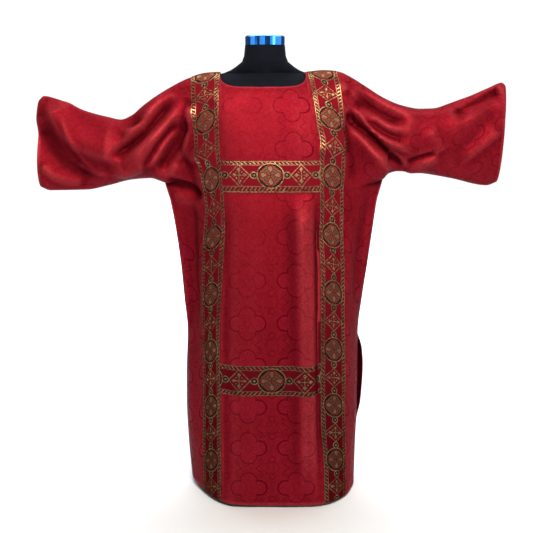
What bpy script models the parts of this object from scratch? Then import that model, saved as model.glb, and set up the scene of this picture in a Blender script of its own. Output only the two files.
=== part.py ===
"""Dalmatic on a limbless display form: a wide T-shaped vestment with orphrey bands, on a torso and stand.

Frame: metres, +Z up, the garment's front faces -Y, +X is to the viewer's right.
The origin is the centre of the stand's underside, on the form's own axis.

The front and the back are each one T-shaped sheet with its half of both sleeves (a kimono cut).
A sheet is a grid. Its columns are lines of equal distance from the centre front, measured on the flat
cloth, and its rows run from the shoulder line down to the underarm line, then down to the hem.
"""
from collections import namedtuple
import math

import bmesh
import bpy
import numpy as np

# ---------------------------------------------------------------- driving sizes
WALL = 0.0020              # thickness of the damask
SEAM_GAP = 0.0003          # air between two pieces that are sewn or laid together
BAND_THICKNESS = 0.0010    # galloon
BAND_WIDTH = 0.090
BAND_CENTRE = 0.184        # from the centre front, on the flat cloth
BAND_IN, BAND_OUT = BAND_CENTRE - BAND_WIDTH / 2, BAND_CENTRE + BAND_WIDTH / 2
BODY_HALF = 0.390          # centre front to side seam, on the flat cloth
SLEEVE_REACH = 0.320       # side seam line to cuff, on the flat cloth
CHEST_Z = 0.949            # the row where the yoke ends, level with the lower edge of the chest band
CHEST_BAND_TOP = CHEST_Z + BAND_WIDTH
KNEE_BAND_LOW = 0.353
KNEE_BAND_TOP = KNEE_BAND_LOW + BAND_WIDTH
HEM_Z = 0.008
HEM_LIFT_LEFT = 0.014      # the hem hangs this much higher at the left side
SLIT_TOP = 0.489           # the side seams are open below this
SLIT_PART = 0.0030         # gap between the edges of a slit that hangs closed
SLIT_EASE = 0.050          # a slit's edges part over this height
RIDGE_Z = 1.289            # the shoulder line's height at the neck's right corner
NECK_LEFT, NECK_RIGHT = -0.139, 0.130   # ends of the neck opening, on the flat cloth
NECK_SQUARE = 5.0          # how square the corners of the neck opening are
FRONT, BACK = -1, 1
NECK_DROP = {FRONT: math.radians(31.0), BACK: math.radians(25.0)}   # turn from shoulder line to neck edge
YOKE_SQUARE = 2.35         # squareness of the yoke's upright section; the sleeves' is that of an ellipse
SLEEVE_START = 0.20        # the sleeves' fullness begins here, from the centre front on the flat cloth
UNDERARM_SHARP = 6         # how suddenly the chest row rises to the underarm point
CHEST_FADE_ROWS = 3        # body rows over which that rise is lost

# Horizontal sections of the body, from the chest row down: the side seams, the bands' outer and inner
# edges, the half depths, and how steeply each side turns back past its panel (1: straight to the seam).
Ring = namedtuple("Ring", "z centre left left_out left_in right_in right_out right "
                          "front back left_turn right_turn")
RINGS = [
    Ring(0.008, 0.023, -0.236, -0.188, -0.134, 0.181, 0.249, 0.286, 0.210, 0.206, 0.62, 0.34),
    Ring(0.140, 0.022, -0.245, -0.190, -0.134, 0.180, 0.246, 0.288, 0.206, 0.202, 0.66, 0.38),
    Ring(0.260, 0.021, -0.249, -0.188, -0.134, 0.176, 0.242, 0.291, 0.201, 0.197, 0.75, 0.43),
    Ring(0.380, 0.020, -0.247, -0.187, -0.134, 0.174, 0.237, 0.291, 0.195, 0.190, 0.78, 0.50),
    Ring(0.500, 0.020, -0.242, -0.187, -0.135, 0.174, 0.234, 0.290, 0.188, 0.182, 0.78, 0.58),
    Ring(0.600, 0.019, -0.250, -0.189, -0.132, 0.173, 0.233, 0.300, 0.179, 0.174, 0.86, 0.72),
    Ring(0.710, 0.019, -0.259, -0.188, -0.126, 0.172, 0.233, 0.315, 0.168, 0.164, 0.92, 0.88),
    Ring(0.822, 0.018, -0.273, -0.181, -0.120, 0.167, 0.229, 0.329, 0.156, 0.154, 0.98, 0.96),
    Ring(0.896, 0.017, -0.286, -0.175, -0.118, 0.163, 0.230, 0.339, 0.147, 0.146, 1.00, 1.00),
    Ring(0.949, 0.016, -0.303, -0.181, -0.120, 0.159, 0.229, 0.356, 0.140, 0.138, 1.00, 1.00),
]
CORNER_IN, CORNER_SOFT = 0.012, 0.016   # the turn starts this far inside a band's edge; its roundness
SIDE_ROUND = 8             # how close to the side seam the section's last rounding keeps
RING_SAMPLES = 400

# How far the back's slit edge stands outside the front's, at the right side.
SlitEdge = namedtuple("SlitEdge", "z outward")
RIGHT_SLIT = [
    SlitEdge(z=0.008, outward=0.000),
    SlitEdge(z=0.200, outward=0.002),
    SlitEdge(z=0.270, outward=0.013),
    SlitEdge(z=0.380, outward=0.018),
    SlitEdge(z=0.440, outward=0.014),
    SlitEdge(z=0.489, outward=0.000),
]

# The yoke's upright lines, by their distance from the centre front on the flat cloth: where each stands on
# the shoulder line, and how far its middle bends sideways on the way down to the chest row.
YokeLine = namedtuple("YokeLine", "flat ridge bend")
YOKE_LINES = [
    YokeLine(-BODY_HALF, -0.3733, 0.000), YokeLine(-BAND_OUT, -0.2155, -0.008),
    YokeLine(-BAND_IN, -0.1322, -0.006), YokeLine(0.000, 0.0040, 0.000),
    YokeLine(NECK_RIGHT, 0.1172, 0.008), YokeLine(BAND_IN, 0.1245, 0.010),
    YokeLine(BAND_OUT, 0.2095, 0.013), YokeLine(BODY_HALF, 0.3833, 0.000),
]

# The shoulder line and the sleeves' upper folds, from the left cuff to the right one.
Edge = namedtuple("Edge", "x z")
TOP_LINE = [
    Edge(-0.670, 1.207), Edge(-0.656, 1.219), Edge(-0.610, 1.208), Edge(-0.540, 1.177),
    Edge(-0.470, 1.158), Edge(-0.430, 1.150), Edge(-0.400, 1.161), Edge(-0.360, 1.193),
    Edge(-0.290, 1.239), Edge(-0.220, 1.273), Edge(-0.170, 1.286), Edge(-0.125, 1.288),
    Edge(0.125, RIDGE_Z), Edge(0.170, 1.293), Edge(0.216, 1.290), Edge(0.250, 1.276),
    Edge(0.290, 1.252), Edge(0.360, 1.210), Edge(0.410, 1.191), Edge(0.460, 1.182),
    Edge(0.500, 1.183), Edge(0.550, 1.198), Edge(0.610, 1.220), Edge(0.660, 1.242),
    Edge(0.702, 1.258), Edge(0.7105, 1.250),
]
# The sleeves' lower folds, with the underarm points at their inner ends.
LOWER_LINE = {
    -1: [Edge(-0.676, 0.948), Edge(-0.650, 0.938), Edge(-0.540, 0.940), Edge(-0.470, 0.954),
         Edge(-0.400, 0.971), Edge(-0.345, 0.975), Edge(-0.303, 0.962)],
    1: [Edge(0.356, 0.972), Edge(0.372, 0.989), Edge(0.400, 0.996), Edge(0.470, 0.990),
        Edge(0.560, 0.975), Edge(0.670, 0.953), Edge(0.698, 0.963)],
}
CUFF_BOW = {-1: 0.006, 1: 0.003}   # how far the middle of a cuff's edge stands outside its two ends

# Half depth of a sleeve from the side seam line (share 0) to the cuff (share 1).
SleeveDepth = namedtuple("SleeveDepth", "share depth")
SLEEVE_DEPTHS = [
    SleeveDepth(0.00, 0.085), SleeveDepth(0.30, 0.070), SleeveDepth(0.55, 0.057),
    SleeveDepth(0.80, 0.046), SleeveDepth(1.00, 0.038),
]
SLEEVE_SAG = 0.20          # how much of a sleeve's fullness lies in its lower half

# Large folds: a soft ridge (out > 0) or trough (out < 0) along a curve through three points (x, z),
# with a side pull for cloth that is dragged sideways.
Fold = namedtuple("Fold", "start middle end width out side")
FRONT_FOLDS = [
    # left sleeve: swags from the cuff's upper corner
    Fold((-0.660, 1.150), (-0.592, 1.036), (-0.470, 0.965), width=0.034, out=-0.022, side=0),
    Fold((-0.640, 1.200), (-0.545, 1.090), (-0.430, 1.050), width=0.028, out=0.014, side=0),
    # left shoulder: pulls that run down to the sleeve's hollow and to the underarm
    Fold((-0.255, 1.235), (-0.325, 1.150), (-0.420, 1.070), width=0.026, out=-0.014, side=0),
    Fold((-0.225, 1.180), (-0.290, 1.100), (-0.370, 1.020), width=0.026, out=0.010, side=0),
    Fold((-0.240, 1.120), (-0.285, 1.060), (-0.325, 0.975), width=0.026, out=-0.015, side=0),
    # right sleeve: swags and the fan of folds at the underarm
    Fold((0.245, 1.170), (0.325, 1.085), (0.412, 1.005), width=0.026, out=-0.015, side=0),
    Fold((0.255, 1.205), (0.345, 1.110), (0.455, 1.050), width=0.026, out=0.010, side=0),
    Fold((0.310, 1.215), (0.400, 1.140), (0.500, 1.110), width=0.026, out=-0.012, side=0),
    Fold((0.425, 1.010), (0.480, 1.028), (0.540, 1.062), width=0.026, out=-0.010, side=0),
    Fold((0.700, 1.150), (0.610, 1.060), (0.500, 1.010), width=0.034, out=0.010, side=0),
    # body: long soft flutes beside the bands
    Fold((0.168, 0.930), (0.170, 0.500), (0.172, 0.010), width=0.026, out=-0.010, side=0),
    Fold((0.118, 0.900), (0.122, 0.480), (0.126, 0.010), width=0.026, out=0.007, side=0),
    Fold((-0.118, 0.920), (-0.120, 0.500), (-0.118, 0.010), width=0.026, out=-0.006, side=0),
    Fold((-0.222, 0.980), (-0.226, 0.750), (-0.216, 0.450), width=0.030, out=-0.014, side=0.004),
    Fold((0.255, 0.900), (0.245, 0.620), (0.240, 0.250), width=0.030, out=0.008, side=0),
]
BACK_FOLDS = [
    # sleeves: swags like the front's, of other lengths
    Fold((0.690, 1.160), (0.610, 1.040), (0.490, 0.985), width=0.034, out=-0.018, side=0),
    Fold((0.675, 1.205), (0.570, 1.100), (0.450, 1.060), width=0.028, out=0.012, side=0),
    Fold((0.265, 1.215), (0.345, 1.130), (0.430, 1.060), width=0.026, out=-0.013, side=0),
    Fold((0.240, 1.170), (0.310, 1.080), (0.385, 1.010), width=0.026, out=0.010, side=0),
    Fold((-0.640, 1.165), (-0.570, 1.050), (-0.470, 1.000), width=0.034, out=-0.018, side=0),
    Fold((-0.255, 1.200), (-0.315, 1.110), (-0.385, 1.030), width=0.026, out=-0.014, side=0),
    Fold((-0.235, 1.150), (-0.285, 1.060), (-0.330, 0.990), width=0.026, out=0.010, side=0),
    # body: long flutes that open towards the hem
    Fold((-0.150, 0.900), (-0.160, 0.500), (-0.165, 0.010), width=0.028, out=-0.010, side=0),
    Fold((-0.050, 0.860), (-0.060, 0.480), (-0.062, 0.010), width=0.028, out=0.007, side=0),
    Fold((0.070, 0.880), (0.080, 0.500), (0.085, 0.010), width=0.028, out=-0.008, side=0),
    Fold((0.190, 0.900), (0.200, 0.500), (0.205, 0.010), width=0.028, out=0.008, side=0),
]
FOLD_STEPS = 24            # straight pieces that a fold's curve is measured along
FOLD_TIPS = 0.25           # share of a fold's length over which it rises from nothing at each end
FOLD_RISE = 2.2            # how quickly the folds start below the shoulder line
SEAM_CALM = 0.060          # the folds die out within this of a side seam

# Grid: number of steps between the named columns and rows.
CENTRE_STEPS, BAND_STEPS, FLANK_STEPS, SLEEVE_STEPS = 5, 3, 6, 13
FLANK_CROWDING = 0.85      # below 1 the flank's columns stand closer together near the seam
YOKE_STEPS, CHEST_BAND_STEPS = 11, 4
BODY_STEPS = [(0.860, 4), (SLIT_TOP, 8), (KNEE_BAND_TOP, 1), (KNEE_BAND_LOW, 2), (HEM_Z, 6)]

# The display form: horizontal sections of the torso from the hip up to the neck's top.
FormRing = namedtuple("FormRing", "z wide front back square")
FORM_RINGS = [
    FormRing(0.640, 0.120, 0.080, 0.085, 2.2), FormRing(0.646, 0.150, 0.100, 0.108, 2.2),
    FormRing(0.670, 0.164, 0.108, 0.118, 2.2), FormRing(0.760, 0.158, 0.104, 0.112, 2.2),
    FormRing(0.860, 0.148, 0.100, 0.098, 2.2), FormRing(0.950, 0.160, 0.108, 0.102, 2.3),
    FormRing(1.040, 0.180, 0.114, 0.110, 2.4), FormRing(1.120, 0.194, 0.110, 0.108, 2.4),
    FormRing(1.180, 0.200, 0.096, 0.094, 2.4), FormRing(1.220, 0.196, 0.078, 0.080, 2.2),
    FormRing(1.246, 0.186, 0.064, 0.064, 1.8), FormRing(1.264, 0.174, 0.052, 0.052, 1.5),
    FormRing(1.274, 0.152, 0.048, 0.048, 1.3), FormRing(1.2820, 0.138, 0.046, 0.046, 1.05),
    FormRing(1.2857, 0.121, 0.046, 0.046, 1.05), FormRing(1.294, 0.101, 0.048, 0.048, 1.4),
    FormRing(1.305, 0.084, 0.052, 0.053, 1.7),
    FormRing(1.318, 0.0680, 0.0560, 0.0570, 2.0), FormRing(1.334, 0.0618, 0.0575, 0.0580, 2.0),
    FormRing(1.3655, 0.0585, 0.0575, 0.0575, 2.0),
]
FORM_SEGMENTS = 36
CAP_RADIUS = 0.0590
CAP_TOP_Z = 1.3935
CAP_EDGE = 0.0030          # how far the cap's rounded edge reaches in
CAP_CROWN = 0.0045         # how far the cap's top rises above its straight side
CAP_BEVEL = [(0.4, 0.35), (1.0, 0.70)]   # the rounded edge: shares of its reach in and of the crown
CAP_FLAT = 0.6             # share of the cap's radius that its flat top takes
TURNED_SEGMENTS, POLE_SEGMENTS = 48, 24
SMOOTH_ANGLE = math.radians(40)
POLE_RADIUS = 0.016
COLLAR_RADIUS, COLLAR_HEIGHT = 0.030, 0.040
BASE_RADIUS, BASE_HEIGHT, BASE_EDGE = 0.165, 0.010, 0.002

DAMASK_RED = (0.36, 0.012, 0.022, 1.0)
GALLOON_GOLD = (0.42, 0.22, 0.07, 1.0)
FORM_BLACK = (0.006, 0.007, 0.010, 1.0)
CAP_BLUE = (0.06, 0.25, 0.85, 1.0)
STEEL_GREY = (0.55, 0.56, 0.58, 1.0)


# ---------------------------------------------------------------- curves from the tables
def smooth_through(keys, values, at):
    """A curve through the points that never overshoots between two of them (monotone cubic)."""
    keys, values = np.asarray(keys, float), np.asarray(values, float)
    order = np.argsort(keys)
    keys, values = keys[order], values[order]
    step = np.diff(keys)
    slope = np.diff(values) / step
    tangent = np.concatenate([[slope[0]], np.zeros(len(slope) - 1), [slope[-1]]])
    same_way = slope[:-1] * slope[1:] > 0
    early, late = 2 * step[1:] + step[:-1], step[1:] + 2 * step[:-1]
    with np.errstate(divide="ignore", invalid="ignore"):
        mean = (early + late) / (early / slope[:-1] + late / slope[1:])
    tangent[1:-1] = np.where(same_way, mean, 0.0)
    at = np.clip(at, keys[0], keys[-1])
    i = np.clip(np.searchsorted(keys, at, side="right") - 1, 0, len(step) - 1)
    t = (at - keys[i]) / step[i]
    return (values[i] * (1 + 2 * t) * (1 - t) ** 2 + values[i + 1] * t * t * (3 - 2 * t)
            + step[i] * (tangent[i] * t * (1 - t) ** 2 - tangent[i + 1] * t * t * (1 - t)))


def column_at(table, key, value, at):
    """One named column of a table, as a smooth curve over another column."""
    return smooth_through([getattr(r, key) for r in table], [getattr(r, value) for r in table], at)


def squared(value, power):
    """A power that keeps the value's sign, for the sections' squared-off curves."""
    return np.sign(value) * np.abs(value) ** power


def ease(t):
    """0 to 1 with a gentle start and end."""
    t = np.clip(t, 0.0, 1.0)
    return t * t * (3 - 2 * t)


# ---------------------------------------------------------------- the sheet
def sheet_columns():
    """Distances from the centre front on the flat cloth, left cuff to right cuff."""
    right = np.concatenate([
        NECK_RIGHT * np.sin(np.linspace(0, math.pi / 2, CENTRE_STEPS)),
        np.linspace(BAND_IN, BAND_OUT, BAND_STEPS + 1),
        BAND_OUT + (BODY_HALF - BAND_OUT) * np.linspace(0, 1, FLANK_STEPS + 1)[1:] ** FLANK_CROWDING,
        np.linspace(BODY_HALF, BODY_HALF + SLEEVE_REACH, SLEEVE_STEPS + 1)[1:],
    ])
    return np.concatenate([-right[:0:-1], right])


def body_rows():
    """Heights of the rows below the chest row, with one on each edge of the knee band and slit."""
    rows = [CHEST_Z]
    for low, steps in BODY_STEPS:
        rows.extend(np.linspace(rows[-1], low, steps + 1)[1:])
    return np.array(rows)


def soft_ramp(at, start, softness):
    """0 before the start and then a straight rise, with a rounded bend between the two."""
    return softness * (np.logaddexp(0, (at - start) / softness) - np.logaddexp(0, -start / softness))


def ring_points(z, columns, side):
    """Points of one half ring at a height, for columns given as distances on the flat cloth.

    The panel between the bands hangs nearly flat; from each band's inner edge the sheet turns back to
    the side seam. The bands' edges keep the places that the table gives them.
    """
    centre = column_at(RINGS, "z", "centre", z)
    depth = column_at(RINGS, "z", "front" if side == FRONT else "back", z)
    unit = np.sin(np.linspace(0, math.pi / 2, RING_SAMPLES))
    x, y = np.empty_like(columns), np.empty_like(columns)
    for hand, name in ((-1, "left"), (1, "right")):
        band_in, band_out, half = (abs(column_at(RINGS, "z", name + edge, z) - centre)
                                   for edge in ("_in", "_out", ""))
        if side == BACK and hand == 1:
            half = half + column_at(RIGHT_SLIT, "z", "outward", z)
        across = unit * half
        turned_back = soft_ramp(across, band_in - CORNER_IN, CORNER_SOFT)
        turn = column_at(RINGS, "z", name + "_turn", z)
        deep = depth * (1 - turn * turned_back / turned_back[-1]) * np.sqrt(1 - unit ** SIDE_ROUND)
        run = np.concatenate([[0], np.cumsum(np.hypot(np.diff(across), np.diff(deep)))])
        marks = np.interp([0, band_in, band_out, half], across, run)
        mine = columns * hand >= 0
        here = np.interp(np.abs(columns[mine]), [0, BAND_IN, BAND_OUT, BODY_HALF], marks)
        x[mine] = centre + hand * np.interp(here, run, across)
        y[mine] = side * np.interp(here, run, deep)
    return x, y


def yoke_points(columns, side):
    """The rows from the shoulder line to the chest row, sleeves included: array of rows by columns by 3."""
    hand = np.where(columns < 0, -1, 1)
    past = np.clip((np.abs(columns) - BODY_HALF) / SLEEVE_REACH, 0, 1)
    in_body = np.abs(columns) <= BODY_HALF + 1e-9
    body_columns = np.clip(columns, -BODY_HALF, BODY_HALF)
    top_x = column_at(YOKE_LINES, "flat", "ridge", body_columns)
    cuff_top = np.where(hand < 0, TOP_LINE[0].x, TOP_LINE[-1].x)
    top_x = top_x + (cuff_top - top_x) * past
    top_z = column_at(TOP_LINE, "x", "z", top_x)

    low_x, low_y = ring_points(CHEST_Z, columns, side)
    low_z = np.full(len(columns), CHEST_Z)
    for h in (-1, 1):
        line = LOWER_LINE[h]
        underarm = line[-1] if h < 0 else line[0]
        cuff = line[0] if h < 0 else line[-1]
        mine = hand == h
        low_x[mine & ~in_body] = (underarm.x + (cuff.x - underarm.x) * past)[mine & ~in_body]
        low_z[mine & ~in_body] = column_at(line, "x", "z", low_x[mine & ~in_body])
        near_side = np.abs(columns / BODY_HALF) ** UNDERARM_SHARP
        low_z[mine & in_body] += ((underarm.z - CHEST_Z) * near_side)[mine & in_body]
    low_y = np.where(in_body, low_y, 0.0)
    sleeve_depth = column_at(SLEEVE_DEPTHS, "share", "depth", past)
    in_sleeve = ease((np.abs(columns) - SLEEVE_START) / (BODY_HALF - SLEEVE_START))
    fullness = in_sleeve * sleeve_depth
    depth = np.where(in_body, np.hypot(low_y, fullness), sleeve_depth)
    end = math.pi / 2 + np.arctan2(np.where(in_body, fullness, 1.0), np.where(in_body, np.abs(low_y), 0.0))

    neck_centre, neck_half = (NECK_LEFT + NECK_RIGHT) / 2, (NECK_RIGHT - NECK_LEFT) / 2
    opening = np.clip(np.abs((columns - neck_centre) / neck_half), 0, 1)
    start = NECK_DROP[side] * (1 - opening ** NECK_SQUARE) ** (1 / NECK_SQUARE)
    square = YOKE_SQUARE + (2 - YOKE_SQUARE) * in_sleeve
    band_share = (RIDGE_Z - CHEST_BAND_TOP) / (RIDGE_Z - CHEST_Z)
    band_turn = np.arccos(squared(1 - band_share * (1 - squared(np.cos(end), 2 / square)), square / 2))
    above = np.linspace(0, 1, YOKE_STEPS + 1)[:, None]
    below = np.linspace(0, 1, CHEST_BAND_STEPS + 1)[1:, None]
    turn = np.vstack([start + (band_turn - start) * above, band_turn + (end - band_turn) * below])

    share = (1 - squared(np.cos(turn), 2 / square)) / (1 - squared(np.cos(end), 2 / square))
    bow = np.where(hand < 0, -CUFF_BOW[-1], CUFF_BOW[1]) * past ** 2 * np.sin(turn)
    bend = column_at(YOKE_LINES, "flat", "bend", body_columns) * 4 * share * (1 - share)
    x = top_x + (low_x - top_x) * share + bow + bend
    z = top_z + (low_z - top_z) * share
    sag = 1 - SLEEVE_SAG * ease(past * 2) * np.cos(turn)
    y = side * depth * squared(np.sin(turn), 2 / square) * sag
    return np.stack([x, y, z], axis=-1), turn, start


def sheet_grid(side):
    """One side's sheet before it gets a wall: points, triangles, and the point number of each grid place."""
    columns = sheet_columns()
    upper, turn, start = yoke_points(columns, side)
    rows = body_rows()
    first = int(np.argmin(np.abs(columns + BODY_HALF)))
    last = int(np.argmin(np.abs(columns - BODY_HALF)))
    body = columns[first:last + 1]
    lower = np.empty((len(rows), len(body), 3))
    lower[0] = upper[-1, first:last + 1]
    for j, z in enumerate(rows[1:], 1):
        x, y = ring_points(z, body, side)
        fade = max(0.0, 1 - j / CHEST_FADE_ROWS)
        lift = (lower[0, :, 2] - CHEST_Z) * fade
        lift = lift + HEM_LIFT_LEFT * ease(-body / BODY_HALF) * ease((KNEE_BAND_LOW - z) / KNEE_BAND_LOW)
        lower[j] = np.stack([x, y, z + lift], axis=-1)

    number = {}
    points, calm, seam = [], [], []
    for j in range(upper.shape[0]):
        for i in range(len(columns)):
            number["yoke", j, i] = len(points)
            points.append(upper[j, i])
            on_ridge = j == 0 and start[i] < 1e-6
            on_lower_fold = j == upper.shape[0] - 1 and not first < i < last
            seam.append(on_ridge or on_lower_fold)
            hem_calm = ease(FOLD_RISE * math.sin(turn[j, i])) if not first < i < last else 1.0
            ridge_calm = ease(FOLD_RISE * math.sin(min(turn[j, i], math.pi / 2)))
            calm.append(min(hem_calm, ridge_calm))
    for j in range(len(rows)):
        for i in range(first, last + 1):
            if j == 0:
                number["body", 0, i] = number["yoke", upper.shape[0] - 1, i]
                continue
            number["body", j, i] = len(points)
            points.append(lower[j, i - first])
            seam.append(i in (first, last))
            calm.append(float(ease((BODY_HALF - abs(columns[i])) / SEAM_CALM)))
    cells = [("yoke", j, i) for j in range(upper.shape[0] - 1) for i in range(len(columns) - 1)]
    cells += [("body", j, i) for j in range(len(rows) - 1) for i in range(first, last)]
    triangles = [t for cell in cells for t in cell_triangles(number, cell, side)]
    points, calm, seam = np.array(points), np.array(calm), np.array(seam)
    for corner in (first, last):
        calm[number["body", 0, corner]] = 0.0

    points = fold_sheet(points, triangles, calm, side)
    parted = ease((SLIT_TOP - points[:, 2]) / SLIT_EASE)
    points[seam, 1] = side * (SEAM_GAP + (SLIT_PART - SEAM_GAP) * parted[seam]) / 2
    normals = point_normals(points, triangles)
    normals[seam, 1] = 0.0
    normals /= np.linalg.norm(normals, axis=1, keepdims=True)
    return points, normals, triangles, number, columns, rows


def cell_triangles(number, cell, side):
    """The two triangles of a grid cell, always split along the same diagonal and facing out."""
    block, j, i = cell
    a, b = number[block, j, i], number[block, j, i + 1]
    d, c = number[block, j + 1, i], number[block, j + 1, i + 1]
    if side == FRONT:
        return [(a, d, c), (a, c, b)]
    return [(a, c, d), (a, b, c)]


def point_normals(points, triangles):
    """Area-weighted normals at the points."""
    t = np.array(triangles)
    face = np.cross(points[t[:, 1]] - points[t[:, 0]], points[t[:, 2]] - points[t[:, 0]])
    normals = np.zeros_like(points)
    for k in range(3):
        np.add.at(normals, t[:, k], face)
    return normals / np.linalg.norm(normals, axis=1, keepdims=True)


def fold_curve(fold):
    """Points along the curve that passes through a fold's start, middle and end."""
    t = np.linspace(0, 1, FOLD_STEPS + 1)[:, None]
    a, m, b = (np.array(p) for p in (fold.start, fold.middle, fold.end))
    control = 2 * m - (a + b) / 2
    return a * (1 - t) ** 2 + 2 * control * t * (1 - t) + b * t * t


def fold_sheet(points, triangles, calm, side):
    """The points moved by the side's folds, along their normals and sideways."""
    normals = point_normals(points, triangles)
    out, slide = np.zeros(len(points)), np.zeros(len(points))
    for fold in FRONT_FOLDS if side == FRONT else BACK_FOLDS:
        curve = fold_curve(fold)
        gap = np.linalg.norm(points[:, None, [0, 2]] - curve[None], axis=2)
        nearest = gap.argmin(axis=1)
        along = nearest / FOLD_STEPS
        ends = ease(along / FOLD_TIPS) * ease((1 - along) / FOLD_TIPS)
        strength = np.exp(-(gap.min(axis=1) / fold.width) ** 2) * ends
        out += fold.out * strength
        slide += fold.side * strength
    moved = points + normals * (out * calm)[:, None]
    moved[:, 0] += slide * calm
    return moved


# ---------------------------------------------------------------- meshes
def new_material(name, colour, roughness, metallic=0.0):
    """A Principled material."""
    material = bpy.data.materials.new(name)
    material.use_nodes = True
    shader = material.node_tree.nodes["Principled BSDF"]
    shader.inputs["Base Color"].default_value = colour
    shader.inputs["Roughness"].default_value = roughness
    shader.inputs["Metallic"].default_value = metallic
    return material


def add_object(name, mesh, material):
    """A named object for a finished mesh."""
    mesh.materials.append(material)
    obj = bpy.data.objects.new(name, mesh)
    bpy.context.scene.collection.objects.link(obj)
    return obj


def wall_mesh(name, inner, outer, triangles):
    """A closed wall between two layers of points that share their triangles, given facing out."""
    count = len(inner)
    used = {}
    for t in triangles:
        for a, b in ((t[0], t[1]), (t[1], t[2]), (t[2], t[0])):
            used[a, b] = True
    rim = [(a, b) for a, b in used if (b, a) not in used]
    faces = [tuple(t) for t in triangles] + [tuple(k + count for k in reversed(t)) for t in triangles]
    for a, b in rim:
        faces += [(b, a, a + count), (b, a + count, b + count)]
    mesh = bpy.data.meshes.new(name)
    mesh.from_pydata([tuple(p) for p in outer] + [tuple(p) for p in inner], [], faces)
    mesh.update()
    mesh.shade_smooth()
    mesh.set_sharp_from_angle(angle=math.radians(50))
    return mesh


def patch(name, sheet, side, places, material, shorten=0.0):
    """A flat trim laid on the sheet over a block of grid cells: the sheet's own points, moved out."""
    points, normals, _, number, _, _ = sheet
    corners = sorted({(b, j + dj, i + di) for b, j, i in places for dj in (0, 1) for di in (0, 1)},
                     key=lambda key: (key[0] != "yoke", key[1], key[2]))
    ids, local = [], {}
    for key in corners:
        n = number[key]
        if n not in ids:
            ids.append(n)
        local[key] = ids.index(n)
    base, lift = points[ids].copy(), normals[ids]
    if shorten:
        columns = [key[2] for key in corners]
        for key in corners:
            inward = {min(columns): 1, max(columns): -1}.get(key[2])
            if inward:
                step = points[number[key[0], key[1], key[2] + inward]] - points[number[key]]
                base[local[key]] += step * (shorten / np.linalg.norm(step))
    triangles = [t for cell in places for t in cell_triangles(local, cell, side)]
    inner = base + lift * SEAM_GAP
    outer = base + lift * (SEAM_GAP + BAND_THICKNESS)
    return add_object(name, wall_mesh(name, inner, outer, triangles), material)


def column_index(columns, at):
    """The grid column that lies at a distance from the centre front."""
    return int(np.argmin(np.abs(columns - at)))


def build_side(side, word, red, gold):
    """The sheet of one side with its two long bands and two cross bands."""
    sheet = sheet_grid(side)
    points, normals, triangles, number, columns, rows = sheet
    add_object(word, wall_mesh(word, points - normals * WALL, points, triangles), red)
    yoke_rows = YOKE_STEPS + CHEST_BAND_STEPS
    for hand, hand_word in ((-1, "left"), (1, "right")):
        edges = sorted(column_index(columns, hand * e) for e in (BAND_IN, BAND_OUT))
        across = range(edges[0], edges[1])
        places = [("yoke", j, i) for j in range(yoke_rows) for i in across]
        places += [("body", j, i) for j in range(len(rows) - 1) for i in across]
        patch(f"band_{word}_{hand_word}", sheet, side, places, gold)
    across = range(column_index(columns, -BAND_IN), column_index(columns, BAND_IN))
    chest = [("yoke", j, i) for j in range(YOKE_STEPS, yoke_rows) for i in across]
    patch(f"crossband_{word}_chest", sheet, side, chest, gold, shorten=SEAM_GAP)
    top = int(np.argmin(np.abs(rows - KNEE_BAND_TOP)))
    low = int(np.argmin(np.abs(rows - KNEE_BAND_LOW)))
    knee = [("body", j, i) for j in range(top, low) for i in across]
    patch(f"crossband_{word}_knee", sheet, side, knee, gold, shorten=SEAM_GAP)


def build_torso(material):
    """The form's body and neck, lofted through its sections, closed at both ends."""
    rings = []
    for r in FORM_RINGS:
        ring = []
        for k in range(FORM_SEGMENTS):
            turn = 2 * math.pi * k / FORM_SEGMENTS
            c, s = math.cos(turn), math.sin(turn)
            deep = r.back if s > 0 else r.front
            ring.append((r.wide * math.copysign(abs(c) ** (2 / r.square), c),
                         deep * math.copysign(abs(s) ** (2 / r.square), s), r.z))
        rings.append(ring)
    bm = bmesh.new()
    loops = [[bm.verts.new(p) for p in ring] for ring in rings]
    for low, high in zip(loops, loops[1:]):
        for k in range(FORM_SEGMENTS):
            n = (k + 1) % FORM_SEGMENTS
            bm.faces.new((low[k], low[n], high[n], high[k]))
    bm.faces.new(list(reversed(loops[0])))
    bm.faces.new(loops[-1])
    return finish_bmesh("form_torso", bm, material)


def finish_bmesh(name, bm, material):
    """An object from a bmesh, with its faces turned out and its round sides smooth."""
    bmesh.ops.recalc_face_normals(bm, faces=bm.faces)
    mesh = bpy.data.meshes.new(name)
    bm.to_mesh(mesh)
    bm.free()
    mesh.shade_smooth()
    mesh.set_sharp_from_angle(angle=SMOOTH_ANGLE)
    return add_object(name, mesh, material)


def turned(name, profile, material, segments=TURNED_SEGMENTS):
    """A solid of revolution about the form's axis; the profile runs from the axis out and back to it."""
    bm = bmesh.new()
    loops = [[bm.verts.new((r * math.cos(2 * math.pi * k / segments),
                            r * math.sin(2 * math.pi * k / segments), z)) for k in range(segments)]
             for r, z in profile]
    for low, high in zip(loops, loops[1:]):
        for k in range(segments):
            n = (k + 1) % segments
            bm.faces.new((low[k], low[n], high[n], high[k]))
    bm.faces.new(list(reversed(loops[0])))
    bm.faces.new(loops[-1])
    return finish_bmesh(name, bm, material)


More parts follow.
